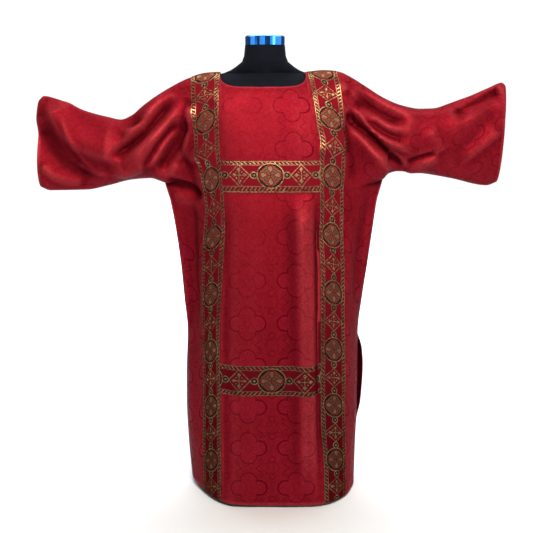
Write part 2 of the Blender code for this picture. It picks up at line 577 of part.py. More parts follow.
def build_stand(black, blue, steel):
    """The display form's neck cap, pole, collar and base."""
    build_torso(black)
    neck_top = FORM_RINGS[-1].z
    cap_low = neck_top + SEAM_GAP
    shoulder_z = CAP_TOP_Z - CAP_CROWN
    bevel = [(CAP_RADIUS - CAP_EDGE * reach, shoulder_z + CAP_CROWN * rise) for reach, rise in CAP_BEVEL]
    turned("form_neck_cap", [(CAP_RADIUS, cap_low), (CAP_RADIUS, shoulder_z), *bevel,
                             (CAP_RADIUS * CAP_FLAT, CAP_TOP_Z)], blue)
    base_top = BASE_HEIGHT
    turned("stand_base", [(BASE_RADIUS, 0.0), (BASE_RADIUS, base_top - BASE_EDGE),
                          (BASE_RADIUS - BASE_EDGE, base_top)], steel)
    collar_low = base_top + SEAM_GAP
    collar_top = collar_low + COLLAR_HEIGHT
    turned("stand_collar", [(COLLAR_RADIUS, collar_low), (COLLAR_RADIUS, collar_top - BASE_EDGE),
                            (COLLAR_RADIUS - BASE_EDGE, collar_top)], steel, POLE_SEGMENTS)
    turned("stand_pole", [(POLE_RADIUS, collar_top + SEAM_GAP), (POLE_RADIUS, FORM_RINGS[0].z - SEAM_GAP)],
           steel, POLE_SEGMENTS)


def main():
    """Builds the whole part in an emptied scene."""
    for obj in list(bpy.data.objects):
        bpy.data.objects.remove(obj)
    red = new_material("damask_red", DAMASK_RED, 0.45)
    gold = new_material("galloon_gold", GALLOON_GOLD, 0.40, 0.6)
    black = new_material("form_black", FORM_BLACK, 0.70)
    blue = new_material("cap_blue", CAP_BLUE, 0.12, 1.0)
    steel = new_material("stand_steel", STEEL_GREY, 0.30, 1.0)
    build_side(FRONT, "front", red, gold)
    build_side(BACK, "back", red, gold)
    build_stand(black, blue, steel)


main()
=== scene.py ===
"""A dalmatic of crimson damask with gold galloon orphreys, standing on a limbless display form.

The cloth hangs in the same shape as its solids: two T-shaped sheets, front and back, each a grid whose
columns are lines of equal distance from the centre front on the flat cloth, and whose rows run from the
shoulder line down to the underarm line, then down to the hem. Creases and weave are added here.
Metres, +Z up, the garment's front faces -Y, and +X is to the viewer's right.
"""

import logging
import math
from dataclasses import dataclass
from enum import Enum
from functools import partial
from typing import Any, Iterator, NamedTuple

import bpy
import numpy as np
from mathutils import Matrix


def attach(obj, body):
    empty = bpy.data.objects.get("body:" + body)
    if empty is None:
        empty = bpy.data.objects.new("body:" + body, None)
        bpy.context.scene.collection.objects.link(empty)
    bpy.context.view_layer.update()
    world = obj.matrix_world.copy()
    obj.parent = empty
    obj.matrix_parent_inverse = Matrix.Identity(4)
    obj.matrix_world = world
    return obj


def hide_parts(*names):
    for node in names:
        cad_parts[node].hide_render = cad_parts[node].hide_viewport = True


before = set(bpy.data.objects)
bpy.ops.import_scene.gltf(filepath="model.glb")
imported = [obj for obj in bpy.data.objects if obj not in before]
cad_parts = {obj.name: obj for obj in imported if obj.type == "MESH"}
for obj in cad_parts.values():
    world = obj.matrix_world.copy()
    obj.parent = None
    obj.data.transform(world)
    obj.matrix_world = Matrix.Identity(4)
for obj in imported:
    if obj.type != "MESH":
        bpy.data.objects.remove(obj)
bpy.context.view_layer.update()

log = logging.getLogger("dalmatic")
TINY = 1e-9
CLOTH_MAP = "flat_cloth"
SHARP_FROM = math.radians(55)
RGBA = {"data_type": "RGBA"}
SCALE = {"operation": "SCALE"}


# ---------------------------------------------------------------- small tools
class Side(Enum):
    """Which of the two sheets."""

    FRONT = -1
    BACK = 1


class Hand(Enum):
    """Left or right, as a viewer before the garment sees it."""

    LEFT = -1
    RIGHT = 1


class Edge(NamedTuple):
    """A point of an outline, seen from the front."""

    x: float
    z: float


class Ring(NamedTuple):
    """A level section of the body: side seams, the bands' outer and inner edges, and half depths.

    Each turn is how steeply that side goes back past its panel (1: straight to the seam).
    """

    z: float
    centre: float
    left: float
    left_out: float
    left_in: float
    right_in: float
    right_out: float
    right: float
    front: float
    back: float
    left_turn: float
    right_turn: float


class YokeLine(NamedTuple):
    """An upright line of the yoke: its place on the shoulder line, and its sideways bend."""

    flat: float
    ridge: float
    bend: float


class SlitEdge(NamedTuple):
    """How far the back's slit edge stands outside the front's, at a height."""

    z: float
    outward: float


class SleeveDepth(NamedTuple):
    """Half depth of a sleeve, from the side seam line (share 0) to the cuff (share 1)."""

    share: float
    depth: float


class Crease(NamedTuple):
    """A ridge (out > 0) or trough (out < 0) along a curve through three points (x, z).

    left and right are the widths of its flanks, as seen from the front by someone who travels from
    start to end. Over the share tips each end dies away, and side drags the cloth sideways.
    """

    start: tuple[float, float]
    middle: tuple[float, float]
    end: tuple[float, float]
    out: float
    left: float
    right: float
    tips: float = 0.25
    side: float = 0.0


def smooth_through(keys: Any, values: Any, at: Any) -> np.ndarray:
    """A curve through points that never overshoots between two of them.

    Args:
        keys: where the points lie.
        values: their values.
        at: where the curve is wanted.

    Returns:
        The curve's values.
    """
    keys, values = np.asarray(keys, float), np.asarray(values, float)
    order = np.argsort(keys)
    keys, values = keys[order], values[order]
    step = np.diff(keys)
    slope = np.diff(values) / step
    tangent = np.concatenate([[slope[0]], np.zeros(len(slope) - 1), [slope[-1]]])
    early, late = 2 * step[1:] + step[:-1], step[1:] + 2 * step[:-1]
    with np.errstate(divide="ignore", invalid="ignore"):
        mean = (early + late) / (early / slope[:-1] + late / slope[1:])
    tangent[1:-1] = np.where(slope[:-1] * slope[1:] > 0, mean, 0.0)
    at = np.clip(at, keys[0], keys[-1])
    i = np.clip(np.searchsorted(keys, at, side="right") - 1, 0, len(step) - 1)
    t = (at - keys[i]) / step[i]
    return (values[i] * (1 + 2 * t) * (1 - t) ** 2 + values[i + 1] * t * t * (3 - 2 * t)
            + step[i] * (tangent[i] * t * (1 - t) ** 2 - tangent[i + 1] * t * t * (1 - t)))


def column_of(table: Any, key: str, value: str, at: Any) -> np.ndarray:
    """One named column of a table, as a smooth curve over another column."""
    return smooth_through([getattr(r, key) for r in table], [getattr(r, value) for r in table], at)


def ease(t: Any) -> Any:
    """0 to 1 with a gentle start and end."""
    t = np.clip(t, 0.0, 1.0)
    return t * t * (3 - 2 * t)


def soft_ramp(at: Any, start: Any, softness: float) -> Any:
    """0 before the start and then a straight rise, with a rounded bend between the two."""
    return softness * (np.logaddexp(0, (at - start) / softness) - np.logaddexp(0, -start / softness))


def squared(value: Any, power: Any) -> Any:
    """A power that keeps the value's sign, for the sections' squared-off curves."""
    return np.sign(value) * np.abs(value) ** power


def linear(hex_colour: str) -> tuple[float, float, float, float]:
    """Turns an sRGB colour to linear.

    Args:
        hex_colour: the colour, such as "#7f1522".

    Returns:
        Red, green, blue and alpha.
    """
    parts = [int(hex_colour.lstrip("#")[i:i + 2], 16) / 255 for i in (0, 2, 4)]
    red, green, blue = (c / 12.92 if c <= 0.04045 else ((c + 0.055) / 1.055) ** 2.4 for c in parts)
    return red, green, blue, 1.0


def point_normals(points: np.ndarray, quads: np.ndarray) -> np.ndarray:
    """Area-weighted normals of a quad mesh.

    Args:
        points: its points.
        quads: four point numbers a cell.

    Returns:
        A unit normal for each point.
    """
    face = np.cross(points[quads[:, 2]] - points[quads[:, 0]], points[quads[:, 3]] - points[quads[:, 1]])
    normals = np.zeros_like(points)
    for k in range(4):
        np.add.at(normals, quads[:, k], face)
    return normals / np.maximum(np.linalg.norm(normals, axis=1, keepdims=True), TINY)


def add_object(name: str, data: bpy.types.ID) -> bpy.types.Object:
    """Adds an object to the scene.

    Args:
        name: its name.
        data: the mesh, lamp or camera that it shows.

    Returns:
        The object.
    """
    made = bpy.data.objects.new(name, data)
    bpy.context.scene.collection.objects.link(made)
    return made


# ---------------------------------------------------------------- node trees
def add_node(tree: bpy.types.NodeTree, kind: str, settings: dict[str, Any] | None = None,
             inputs: dict[Any, Any] | None = None) -> bpy.types.Node:
    """Adds one node with its settings, values and links.

    Args:
        tree: the node tree it goes into.
        kind: Blender's name of the node type, without "ShaderNode" before it.
        settings: properties of the node itself.
        inputs: input name or number to a value, or to the socket or node that feeds it.

    Returns:
        The new node.
    """
    node = tree.nodes.new("ShaderNode" + kind)
    for name, value in (settings or {}).items():
        setattr(node, name, value)
    for name, value in (inputs or {}).items():
        if isinstance(value, bpy.types.Node):
            value = next(socket for socket in value.outputs if socket.enabled)
        if isinstance(value, bpy.types.NodeSocket):
            tree.links.new(value, node.inputs[name])
        else:
            node.inputs[name].default_value = value
    return node


SIGNS = {"+": "ADD", "-": "SUBTRACT", "*": "MULTIPLY", "/": "DIVIDE", "<": "LESS_THAN", ">": "GREATER_THAN",
         "min": "MINIMUM", "max": "MAXIMUM"}
SHORTHANDS = {
    "length": "{0}.a = {1} * {1}; {0}.b = {2} * {2} + {0}.a; {0} = sqrt {0}.b",
    "apart": "{0}.a = {1} - {2}; {0} = absolute {0}.a",
    "beyond": "{0}.a = {1} - {2}; {0} = {0}.a / soft clamped",
    "line": "{0}.c = apart {1} {2}; {0} = beyond {3} {0}.c",
    "wave": "{0}.a = {1} * {2}; {0} = sine {0}.a",
}


def plain_steps(text: str) -> Iterator[list[str]]:
    """Splits a pattern's text into words, with its shorthands written out.

    Args:
        text: a pattern, as run_steps describes it.

    Returns:
        The words of each line, every line being one operation.
    """
    for line in text.splitlines():
        words = line.split()
        if not words or words[0] == "#":
            continue
        name, kind, values = words[0], words[2], words[3:]
        if kind in SHORTHANDS:
            yield from plain_steps(SHORTHANDS[kind].format(name, *values).replace("; ", "\n"))
        elif kind == "largest":
            yield from ([name, "=", so_far, "max", value]
                        for so_far, value in zip([values[0]] + [name] * len(values), values[1:]))
        else:
            yield words


def run_steps(tree: bpy.types.NodeTree, text: str, known: dict[str, Any]) -> dict[str, Any]:
    """Turns a pattern's lines of arithmetic into nodes.

    A line is "name = a * b", "name = a * b + c", "name = sine a" or a shorthand: "length a b" is the root of
    the sum of two squares, "apart a b" the distance between two values, "beyond a b" 1 where a is more than
    b and 0 elsewhere, "line a b half" 1 where a is within half of b, "wave a b" the sine of a product, and
    "largest" the largest of many. The edges of beyond and line are as wide as the known value soft, and
    "clamped" at a line's end keeps its result in 0 to 1.

    Args:
        tree: the material's node tree.
        text: the lines, in order.
        known: sizes and sockets by name; each line's result joins them.

    Returns:
        The same dictionary, filled.
    """
    for name, _, *words in plain_steps(text):
        clamp = words[-1] == "clamped"
        words = words[:-1] if clamp else words
        if len(words) == 5:
            operation, values = "MULTIPLY_ADD", words[::2]
        elif words[1] in SIGNS:
            operation, values = SIGNS[words[1]], words[::2]
        else:
            operation, values = words[0].upper(), words[1:]
        inputs = {i: known[v] if v in known else float(v) for i, v in enumerate(values)}
        known[name] = add_node(tree, "Math", {"operation": operation, "use_clamp": clamp}, inputs)
    return known


# ---------------------------------------------------------------- finishes
class Finish:
    """What every finish shares: its looks become a material with one shader."""

    name: str

    def surface(self, tree: bpy.types.NodeTree) -> dict[str, Any]:
        """Adds the nodes that feed the shader.

        Args:
            tree: the material's node tree.

        Returns:
            The shader's inputs by name.
        """
        raise NotImplementedError

    def known(self, tree: bpy.types.NodeTree, **more: Any) -> dict[str, Any]:
        """The finish's own sizes, a turn in radians, and the flat cloth's two directions in metres.

        Args:
            tree: the material's node tree.
            more: what the second direction is called, such as down="Y".

        Returns:
            Values and sockets by name.
        """
        place = add_node(tree, "UVMap", {"uv_map": CLOTH_MAP})
        parts = add_node(tree, "SeparateXYZ", {}, {0: place})
        found = dict(vars(self), tau=math.tau, across=parts.outputs["X"])
        return found | {word: parts.outputs[axis] for word, axis in more.items()}

    def build(self) -> bpy.types.Material:
        """Builds the finish.

        Returns:
            The material.
        """
        material = bpy.data.materials.new(self.name)
        material.use_nodes = True
        tree = material.node_tree
        tree.nodes.clear()
        shader = add_node(tree, "BsdfPrincipled", {}, self.surface(tree))
        add_node(tree, "OutputMaterial", {}, {"Surface": shader})
        return material


# The damask's pattern: folded into one quarter of a repeat, then rings, rosettes and crosses by distance.
DAMASK_PATTERN = """
shifted_across = across - shift_across
shifted_down = down - shift_down
half_across = repeat_across * 0.5
half_down = repeat_down * 0.5
x = pingpong shifted_across half_across
z = pingpong shifted_down half_down
# the lobed ring: the outline of four overlapping circles and a core between them
dx = x - side_lobe_at
side_r = length dx z
side_d = side_r - side_lobe
dz = z - end_lobe_at
end_r = length dz x
end_d = end_r - end_lobe
lobes_d = side_d min end_d
core_r = length x z
core_d = core_r - core
ring_d = lobes_d min core_d
ring_off = absolute ring_d
ring_in = ring_half - ring_off
ring = ring_in / ring_soft clamped
inside_d = ring_d * -1
inside = inside_d / soft clamped
# veins that fan out in each lobe
side_turn = arctan2 z dx
end_turn = arctan2 x dz
at_side = side_d < end_d
turn_gap = side_turn - end_turn
turn = at_side * turn_gap + end_turn
vein_turn = turn * veins_round
vein_wave = cosine vein_turn
vein_soft = vein_wave * vein_gain + vein_base clamped
vein_on = beyond inside_d vein_margin
vein = vein_soft * vein_on
# between four rings: a square, two chevrons, two buds, and a patch of trellis at each corner
qx = half_across - x
qz = half_down - z
chevron_d = qz * chevron_slope + qx
chevron_off = apart chevron_d chevron_tip
chevron_w = chevron_off * chevron_thin
chevron_line = beyond line_half chevron_w
chevron_stop = qz < chevron_tall
chevron = chevron_line * chevron_stop
bud_z = qz - bud_at
bud_r = length bud_z qx
bud_line = line bud_r bud line_half
square_r = qx max qz
square = line square_r square_half line_half
net_x = qx - trellis_across
net_z = qz - trellis_down
net_ax = absolute net_x
net_az = absolute net_z
net_r = net_ax + net_az
net_on = beyond trellis_half net_r
net_u = wave net_x trellis_waves
net_v = wave net_z trellis_waves
net_uv = net_u * net_v
net_soft = net_uv * trellis_gain + trellis_base clamped
trellis = net_soft * net_on
# small scrolls over the rest of the ground
scroll_u = wave x scrolls_across
scroll_turn = z * scrolls_down
scroll_v = cosine scroll_turn
scroll_sum = scroll_u + scroll_v
scroll_size = absolute scroll_sum
scroll_in = scroll_wide - scroll_size
scroll_soft = scroll_in * scroll_gain clamped
outside = 1 - inside
scroll = scroll_soft * outside
# how plainly each of them shows
vein_dim = vein * vein_shows
chevron_dim = chevron * chevron_shows
bud_dim = bud_line * bud_shows
square_dim = square * square_shows
trellis_dim = trellis * trellis_shows
scroll_dim = scroll * scroll_shows
ring_share = at_side * ring_side_more + ring_shows
ring_dim = ring * ring_share
figures = largest vein_dim chevron_dim bud_dim square_dim trellis_dim scroll_dim ring_dim
# where they are pressed or worn flat
press_x = across - smooth_across
press_u = press_x / smooth_wide
press_z = down - smooth_down
press_v = press_z / smooth_tall
press_r = length press_u press_v
press_on = press_r - smooth_core clamped
pressed = press_on * smooth_rise + smooth_least
left_far = across * -1
left_past = left_far - sleeve_from
left_on = left_past / sleeve_soft clamped
right_past = across - sleeve_from
right_on = right_past / sleeve_soft clamped
left_less = left_on * left_wear
sleeve_less = right_on * right_wear + left_less
above = sleeve_below - down
above_on = above / sleeve_soft clamped
kept = sleeve_less * above_on + 1
press = pressed * kept
dull = figures * press
inner_glow = inside * glow_shows
glow = inner_glow * press
# satin weave
warp_a = across / weave_pitch
warp_b = down / weave_pitch
warp = warp_b * weave_steep + warp_a
weave = wave warp tau
"""


@dataclass(frozen=True)
class SilkDamask(Finish):
    """Crimson silk damask, jacquard woven: figures of dull weft on a lustrous satin ground.

    The eye gets a deep red that goes paler and warmer where a fold turns to the light, and lobed rings,
    crosses and scrolls that show only as a change of lustre.
    """

    name: str = "silk_damask_jacquard"
    ground: str = "#7f1522"
    figure: str = "#5c0418"
    bright: str = "#8c172c"
    edge_tint: str = "#240308"
    rubbed: str = "#b2424a"        # painted highlight: the pale colour mixed in along the folds' crests
    repeat_across: float = 0.1424
    repeat_down: float = 0.1264
    shift_across: float = 0.0712
    shift_down: float = 0.1520
    side_lobe_at: float = 0.0315   # the lobed ring is 109 mm by 97 mm, of four circles
    side_lobe: float = 0.0228
    end_lobe_at: float = 0.0238
    end_lobe: float = 0.0247
    core: float = 0.0200
    ring_half: float = 0.0033
    ring_soft: float = 0.0019
    soft: float = 0.0012
    veins_round: float = 9.0       # veins in a whole turn round a lobe's centre
    vein_gain: float = 1.6
    vein_base: float = -0.5
    vein_margin: float = 0.0045
    chevron_tip: float = 0.0500
    chevron_slope: float = 1.33
    chevron_tall: float = 0.0160
    chevron_thin: float = 0.6      # brings distance along a slanted line back to distance across it
    bud_at: float = 0.0270
    bud: float = 0.0095
    square_half: float = 0.0165
    trellis_across: float = 0.0360
    trellis_down: float = 0.0225
    trellis_half: float = 0.0125
    trellis_waves: float = 750.0   # radians in a metre: repeats every 8.4 mm
    trellis_gain: float = 2.0
    trellis_base: float = 0.3
    line_half: float = 0.0017
    scrolls_across: float = 470.0  # radians in a metre: repeats every 13 mm by 12 mm
    scrolls_down: float = 520.0
    scroll_wide: float = 0.42
    scroll_gain: float = 3.0
    vein_shows: float = 0.34       # how dull each figure is, 1 being the figure colour
    chevron_shows: float = 0.90
    bud_shows: float = 0.75
    square_shows: float = 0.45
    trellis_shows: float = 0.65
    scroll_shows: float = 0.32
    ring_shows: float = 0.73
    ring_side_more: float = 0.22
    glow_shows: float = 0.25
    smooth_across: float = -0.065  # the breast, left of the middle, is pressed smooth and shows no figures
    smooth_down: float = 0.330
    smooth_wide: float = 0.125
    smooth_tall: float = 0.370
    smooth_core: float = 0.35
    smooth_least: float = 0.20
    smooth_rise: float = 0.80
    sleeve_from: float = 0.220     # wear flattens the figures on the sleeves, and most on the left one
    sleeve_soft: float = 0.080
    sleeve_below: float = 0.520
    left_wear: float = -0.72
    right_wear: float = -0.35
    weave_pitch: float = 0.0016    # silk counts are ten times finer; drawn coarse enough to catch light
    weave_steep: float = 2.0

    def surface(self, tree: bpy.types.NodeTree) -> dict[str, Any]:
        """Adds the damask's nodes, patterned in metres of flat cloth through the piece's UV map.

        Args:
            tree: the material's node tree.

        Returns:
            The shader's inputs by name.
        """
        add = partial(add_node, tree)
        known = run_steps(tree, DAMASK_PATTERN, self.known(tree, down="Y"))
        solid = add("TexCoord").outputs["Object"]
        uneven = add("TexNoise", {}, {"Vector": solid, "Scale": 5.0, "Detail": 3.0, "Roughness": 0.55})
        slub = add("TexNoise", {}, {"Vector": solid, "Scale": 130.0, "Detail": 3.0, "Roughness": 0.65})
        lit = add("Mix", RGBA, {"Factor": known["glow"], "A": linear(self.ground), "B": linear(self.bright)})
        figured = add("Mix", RGBA, {"Factor": known["dull"], "A": lit, "B": linear(self.figure)})
        tone = add("MapRange", {}, {"Value": uneven, "From Min": 0.3, "From Max": 0.7,
                                    "To Min": 0.92, "To Max": 1.08})
        grain = add("MapRange", {}, {"Value": slub, "From Min": 0.3, "From Max": 0.7,
                                     "To Min": 0.80, "To Max": 1.20})
        # painted shade darkens the bottoms of the folds, and a painted highlight pales their crests, both by
        # the mesh's pointiness
        form = add("NewGeometry").outputs["Pointiness"]
        hollow = add("MapRange", {}, {"Value": form, "From Min": 0.475, "From Max": 0.500, "To Min": 0.52})
        crest = add("MapRange", {}, {"Value": form, "From Min": 0.500, "From Max": 0.528, "To Max": 0.34})
        known.update(tone=tone, grain=grain, hollow=hollow, slub=slub)
        known = run_steps(tree, """
            both = tone * grain
            level = both * hollow
            relief = dull * -1 + weave
            fibre = slub * 3.5 + relief
        """, known)
        # painted highlight: the colour mixed toward a pale red on the folds' crests
        rubbed = add("Mix", RGBA, {"Factor": crest, "A": figured, "B": linear(self.rubbed)})
        colour = add("VectorMath", SCALE, {0: rubbed, "Scale": known["level"]})
        rough = add("MapRange", {}, {"Value": known["dull"], "To Min": 0.42, "To Max": 0.60})
        bump = add("Bump", {}, {"Height": known["fibre"], "Strength": 0.20, "Distance": 0.0004})
        return {"Base Color": colour, "Roughness": rough, "Normal": bump, "IOR": 1.45, "Metallic": 0.35,
                "Specular IOR Level": 0.02, "Specular Tint": linear(self.edge_tint)}


# The galloon's pattern, folded into a quarter of the repeat: distances first, then lines and fills.
GALLOON_PATTERN = """
half = repeat * 0.5
u = pingpong along half
v = absolute across
# medallion: gilt ring, four dark arcs, four petals with hearts, a mesh between
m = length v u
whole = beyond ring_out m
rim_on = beyond m ring_in
m_ring = rim_on * whole
p = u max v
q = u min v
petal_p = p - petal_at
petal_r = length q petal_p
petal_round = petal_r - petal
petal_slant = p * petal_lean
petal_wedge = q * petal_broad + petal_slant
petal_point = petal_wedge max petal_p
petal_d = petal_round min petal_point
petal_edge = line petal_d 0 petal_line
heart_d = petal_d + petal_gap
heart_on = beyond 0 heart_d
mesh_far = petal_d > petal_line
mesh_turn = arctan2 q p
mesh_u = wave mesh_turn mesh_spokes
mesh_v = wave m mesh_rings
mesh_uv = mesh_u * mesh_v
mesh_on = mesh_uv * mesh_gain + mesh_base clamped
mesh = mesh_far * mesh_on
arc_on = beyond m arc_in
disc = 1 - arc_on
arc_side = p * arc_gap
arc_corner = q > arc_side
arc = arc_on * arc_corner
eye = beyond eye_size m
hearts = heart_on * disc
edges = petal_edge * disc
meshes = mesh * disc
# lozenge, its sides crossing past the ends, with a flowered cross and four dots
w = half - u
side_u = w / lozenge_along
side_v = v / lozenge_across
side_off = apart side_u 1
side_d = apart side_off side_v
side_w = side_d * lozenge_slope
side_line = beyond lozenge_line side_w
side_stop = side_u < lozenge_stop
side = side_line * side_stop
upper_v = apart v flower_across
upper_b = upper_v / petal_deep
upper_a = w / petal_wide
upper = upper_a + upper_b
level_u = apart w flower_along
level_a = level_u / petal_tall
level_b = v / petal_wide
level = level_a + level_b
flower_d = upper min level
flower_in = 1 - flower_d
flower = flower_in * petal_crisp clamped
stem_w = w min v
stem_l = w max v
stem_thin = stem_w < stem_half
stem_short = stem_l < stem_long
stem = stem_thin * stem_short
dot_u = apart w dot_along
dot_v = apart v dot_across
dot_d = dot_u + dot_v
dot = beyond dot_size dot_d
# roundel with a drop
tie_u = u - roundel_at
o = length v tie_u
o_line = line o roundel roundel_line
o_well = beyond roundel o
o_drop = beyond drop o
# rope borders, which the medallion covers
edge = beyond v border_out
inner_line = line v border_in border_line
rope_run = v * rope_slant + along
rope_turns = rope_run / dash
rope_at = fract rope_turns
rope_on = rope_at < rope_lit
rope_shade = rope_at > rope_shaded
rope_lo = v > rope_in
rope_hi = v < rope_out
rope_zone = rope_lo * rope_hi
rope = rope_zone * rope_on
rope_dark = rope_zone * rope_shade
uncovered = 1 - whole
rope_and_line = rope max inner_line
border = rope_and_line * uncovered
# all the gilt, the duller gilt of the mesh, and the dark outlines
petals = hearts * heart_shows
gold = largest m_ring petals side flower dot stem o_line o_drop border edge
dim = meshes max edges
arc_dim = arc * whole
rope_dim = rope_dark * rope_shows
well_dim = o_well * well_shows
dark = largest arc_dim rope_dim eye well_dim
thread_at = across / thread_pitch
thread = wave thread_at tau
"""


@dataclass(frozen=True)
class MetalGalloon(Finish):
    """Orphrey galloon, 90 mm wide: gilt foil thread brocaded on red silk.

    The eye gets pale glints where the foil faces a light and olive brown where it doesn't, in
    medallions, lozenges with flowered crosses and small roundels between two rope borders.
    """

    name: str = "gilt_foil_galloon"
    repeat: float = 0.1710
    silk: str = "#690f1c"
    gilt: str = "#857a5a"
    dim_gilt: str = "#635743"
    outline: str = "#240a0d"
    edge_tint: str = "#2a1c0c"
    soft: float = 0.0006
    ring_out: float = 0.0383         # medallion
    ring_in: float = 0.0348
    arc_in: float = 0.0302
    arc_gap: float = 0.26            # how near the axes the four arcs stop
    petal_at: float = 0.0212
    petal: float = 0.0102
    petal_lean: float = -0.46        # the sides of its pointed foot
    petal_broad: float = 0.88
    petal_line: float = 0.0011
    petal_gap: float = 0.0036
    heart_shows: float = 0.74
    mesh_spokes: float = 12.0        # waves in a whole turn
    mesh_rings: float = 820.0        # radians in a metre: a ring every 7.7 mm
    mesh_gain: float = 2.2
    mesh_base: float = 0.45
    eye_size: float = 0.0026
    lozenge_along: float = 0.0287
    lozenge_across: float = 0.0338
    lozenge_slope: float = 0.02188   # metres of distance for one unit of the lozenge's own measure
    lozenge_line: float = 0.0013
    lozenge_stop: float = 1.17       # where its sides end, past their crossing at 1
    flower_across: float = 0.0172
    flower_along: float = 0.0138
    petal_tall: float = 0.0070       # half sizes of the flower's four petals
    petal_deep: float = 0.0082
    petal_wide: float = 0.0056
    petal_crisp: float = 9.0
    stem_half: float = 0.0010
    stem_long: float = 0.0120
    dot_along: float = 0.0078
    dot_across: float = 0.0092
    dot_size: float = 0.0029
    roundel_at: float = 0.0455
    roundel: float = 0.0093
    roundel_line: float = 0.0018
    well_shows: float = 0.85
    drop: float = 0.0038
    border_in: float = 0.0320
    border_line: float = 0.0009
    rope_in: float = 0.0338
    rope_out: float = 0.0420
    rope_slant: float = 0.9
    rope_lit: float = 0.36           # shares of a dash
    rope_shaded: float = 0.78
    rope_shows: float = 0.7
    border_out: float = 0.0428
    dash: float = 0.0115
    thread_pitch: float = 0.0012     # real foil thread lies 0.4 mm apart; drawn coarse enough to show
    dull_below: float = 0.20         # metres up: painted light and shade, the foil and the silk darker toward the hem and brighter above
    bright_above: float = 1.00
    dulled: float = 0.58
    brightened: float = 1.30

    def surface(self, tree: bpy.types.NodeTree) -> dict[str, Any]:
        """Adds the galloon's nodes, patterned along and across the band in metres through its UV map.

        Args:
            tree: the material's node tree.

        Returns:
            The shader's inputs by name.
        """
        add = partial(add_node, tree)
        known = run_steps(tree, GALLOON_PATTERN, self.known(tree, along="Y"))
        solid = add("TexCoord").outputs["Object"]
        glint = add("TexNoise", {}, {"Vector": solid, "Scale": 210.0, "Detail": 2.0, "Roughness": 0.7})
        worn = add("TexNoise", {}, {"Vector": solid, "Scale": 24.0, "Detail": 2.0})
        # painted glints: the gilt's colour goes paler and darker in small random spots
        shine = add("MapRange", {}, {"Value": glint, "From Min": 0.35, "From Max": 0.65,
                                     "To Min": 0.45, "To Max": 1.45})
        age = add("MapRange", {}, {"Value": worn, "From Min": 0.3, "From Max": 0.7,
                                   "To Min": 0.75, "To Max": 1.20})
        known.update(glint=glint, shine=shine, age=age)
        known = run_steps(tree, """
            lustre = shine * age
            foil = dim * 0.8 + gold
            ribs = thread * 0.35 + gold
            fleck = glint * 1.4 + ribs
        """, known)
        gilt = add("VectorMath", SCALE, {0: linear(self.gilt)[:3], "Scale": known["lustre"]})
        silk, dim_gilt = linear(self.silk), linear(self.dim_gilt)
        meshed = add("Mix", RGBA, {"Factor": known["dim"], "A": silk, "B": dim_gilt})
        ground = add("Mix", RGBA, {"Factor": known["dark"], "A": meshed, "B": linear(self.outline)})
        woven = add("Mix", RGBA, {"Factor": known["gold"], "A": ground, "B": gilt})
        height = add("SeparateXYZ", {}, {0: solid}).outputs["Z"]
        # painted light and shade: the galloon's colour darker toward the hem and brighter toward the
        # shoulders
        rubbed = add("MapRange", {}, {"Value": height, "From Min": self.dull_below,
                                      "From Max": self.bright_above, "To Min": self.dulled,
                                      "To Max": self.brightened})
        colour = add("VectorMath", SCALE, {0: woven, "Scale": rubbed})
        metal = add("MapRange", {}, {"Value": known["foil"], "To Min": 0.3})
        smooth = add("MapRange", {}, {"Value": glint, "From Min": 0.3, "From Max": 0.7,
                                      "To Min": 0.18, "To Max": 0.42})
        rough = add("Mix", {"data_type": "FLOAT"}, {"Factor": known["gold"], "A": 0.50, "B": smooth})
        bump = add("Bump", {}, {"Height": known["fleck"], "Strength": 0.30, "Distance": 0.0006})
        return {"Base Color": colour, "Metallic": metal, "Roughness": rough, "Normal": bump,
                "Specular IOR Level": 0.0, "Specular Tint": linear(self.edge_tint)}


@dataclass(frozen=True)
class CottonJersey(Finish):
    """Black cotton jersey stretched over the moulded form: dull, with the faint grain of fine knitting."""

    name: str = "cotton_jersey_knitted"
    colour: str = "#080c15"
    worn: str = "#0f1420"
    fuzz: str = "#8b96b8"
    # real wales are 0.6 mm; drawn coarse enough to show, slanted and about 1.9 mm from crest to crest
    wale: float = 0.0016
    texture_wave: float = 0.31     # metres between bands square to an axis at a scale of 1; slanted ones 0.36

    def surface(self, tree: bpy.types.NodeTree) -> dict[str, Any]:
        """Adds the jersey's nodes.

        Args:
            tree: the material's node tree.

        Returns:
            The shader's inputs by name.
        """
        add = partial(add_node, tree)
        solid = add("TexCoord").outputs["Object"]
        knit = add("TexWave", {"wave_type": "BANDS", "bands_direction": "DIAGONAL"},
                   {"Vector": solid, "Scale": self.texture_wave / self.wale, "Distortion": 1.5,
                    "Detail": 1.0, "Detail Scale": 3.0})
        fluff = add("TexNoise", {}, {"Vector": solid, "Scale": 60.0, "Detail": 3.0})
        colour = add("Mix", RGBA, {"Factor": fluff, "A": linear(self.colour), "B": linear(self.worn)})
        bump = add("Bump", {}, {"Height": knit.outputs["Fac"], "Strength": 0.35, "Distance": 0.0004})
        return {"Base Color": colour, "Normal": bump, "Roughness": 0.85, "Specular IOR Level": 0.10,
                "Sheen Weight": 0.03, "Sheen Tint": linear(self.fuzz)}


@dataclass(frozen=True)
class TintedChrome(Finish):
    """Chromed steel under blue protective film: a mirror with a strong blue cast and faint film ripples."""

    name: str = "chromed_steel_filmed"
    tint: str = "#2f95ff"

    def surface(self, tree: bpy.types.NodeTree) -> dict[str, Any]:
        """Adds the blue mirror's nodes.

        Args:
            tree: the material's node tree.

        Returns:
            The shader's inputs by name.
        """
        add = partial(add_node, tree)
        solid = add("TexCoord").outputs["Object"]
        ripple = add("TexNoise", {}, {"Vector": solid, "Scale": 22.0, "Detail": 1.0})
        film = add("MapRange", {}, {"Value": ripple, "To Min": 0.05, "To Max": 0.14})
        bump = add("Bump", {}, {"Height": ripple, "Strength": 0.25, "Distance": 0.004})
        return {"Base Color": linear(self.tint), "Roughness": film, "Normal": bump, "Metallic": 1.0,
                "Coat Weight": 0.5}


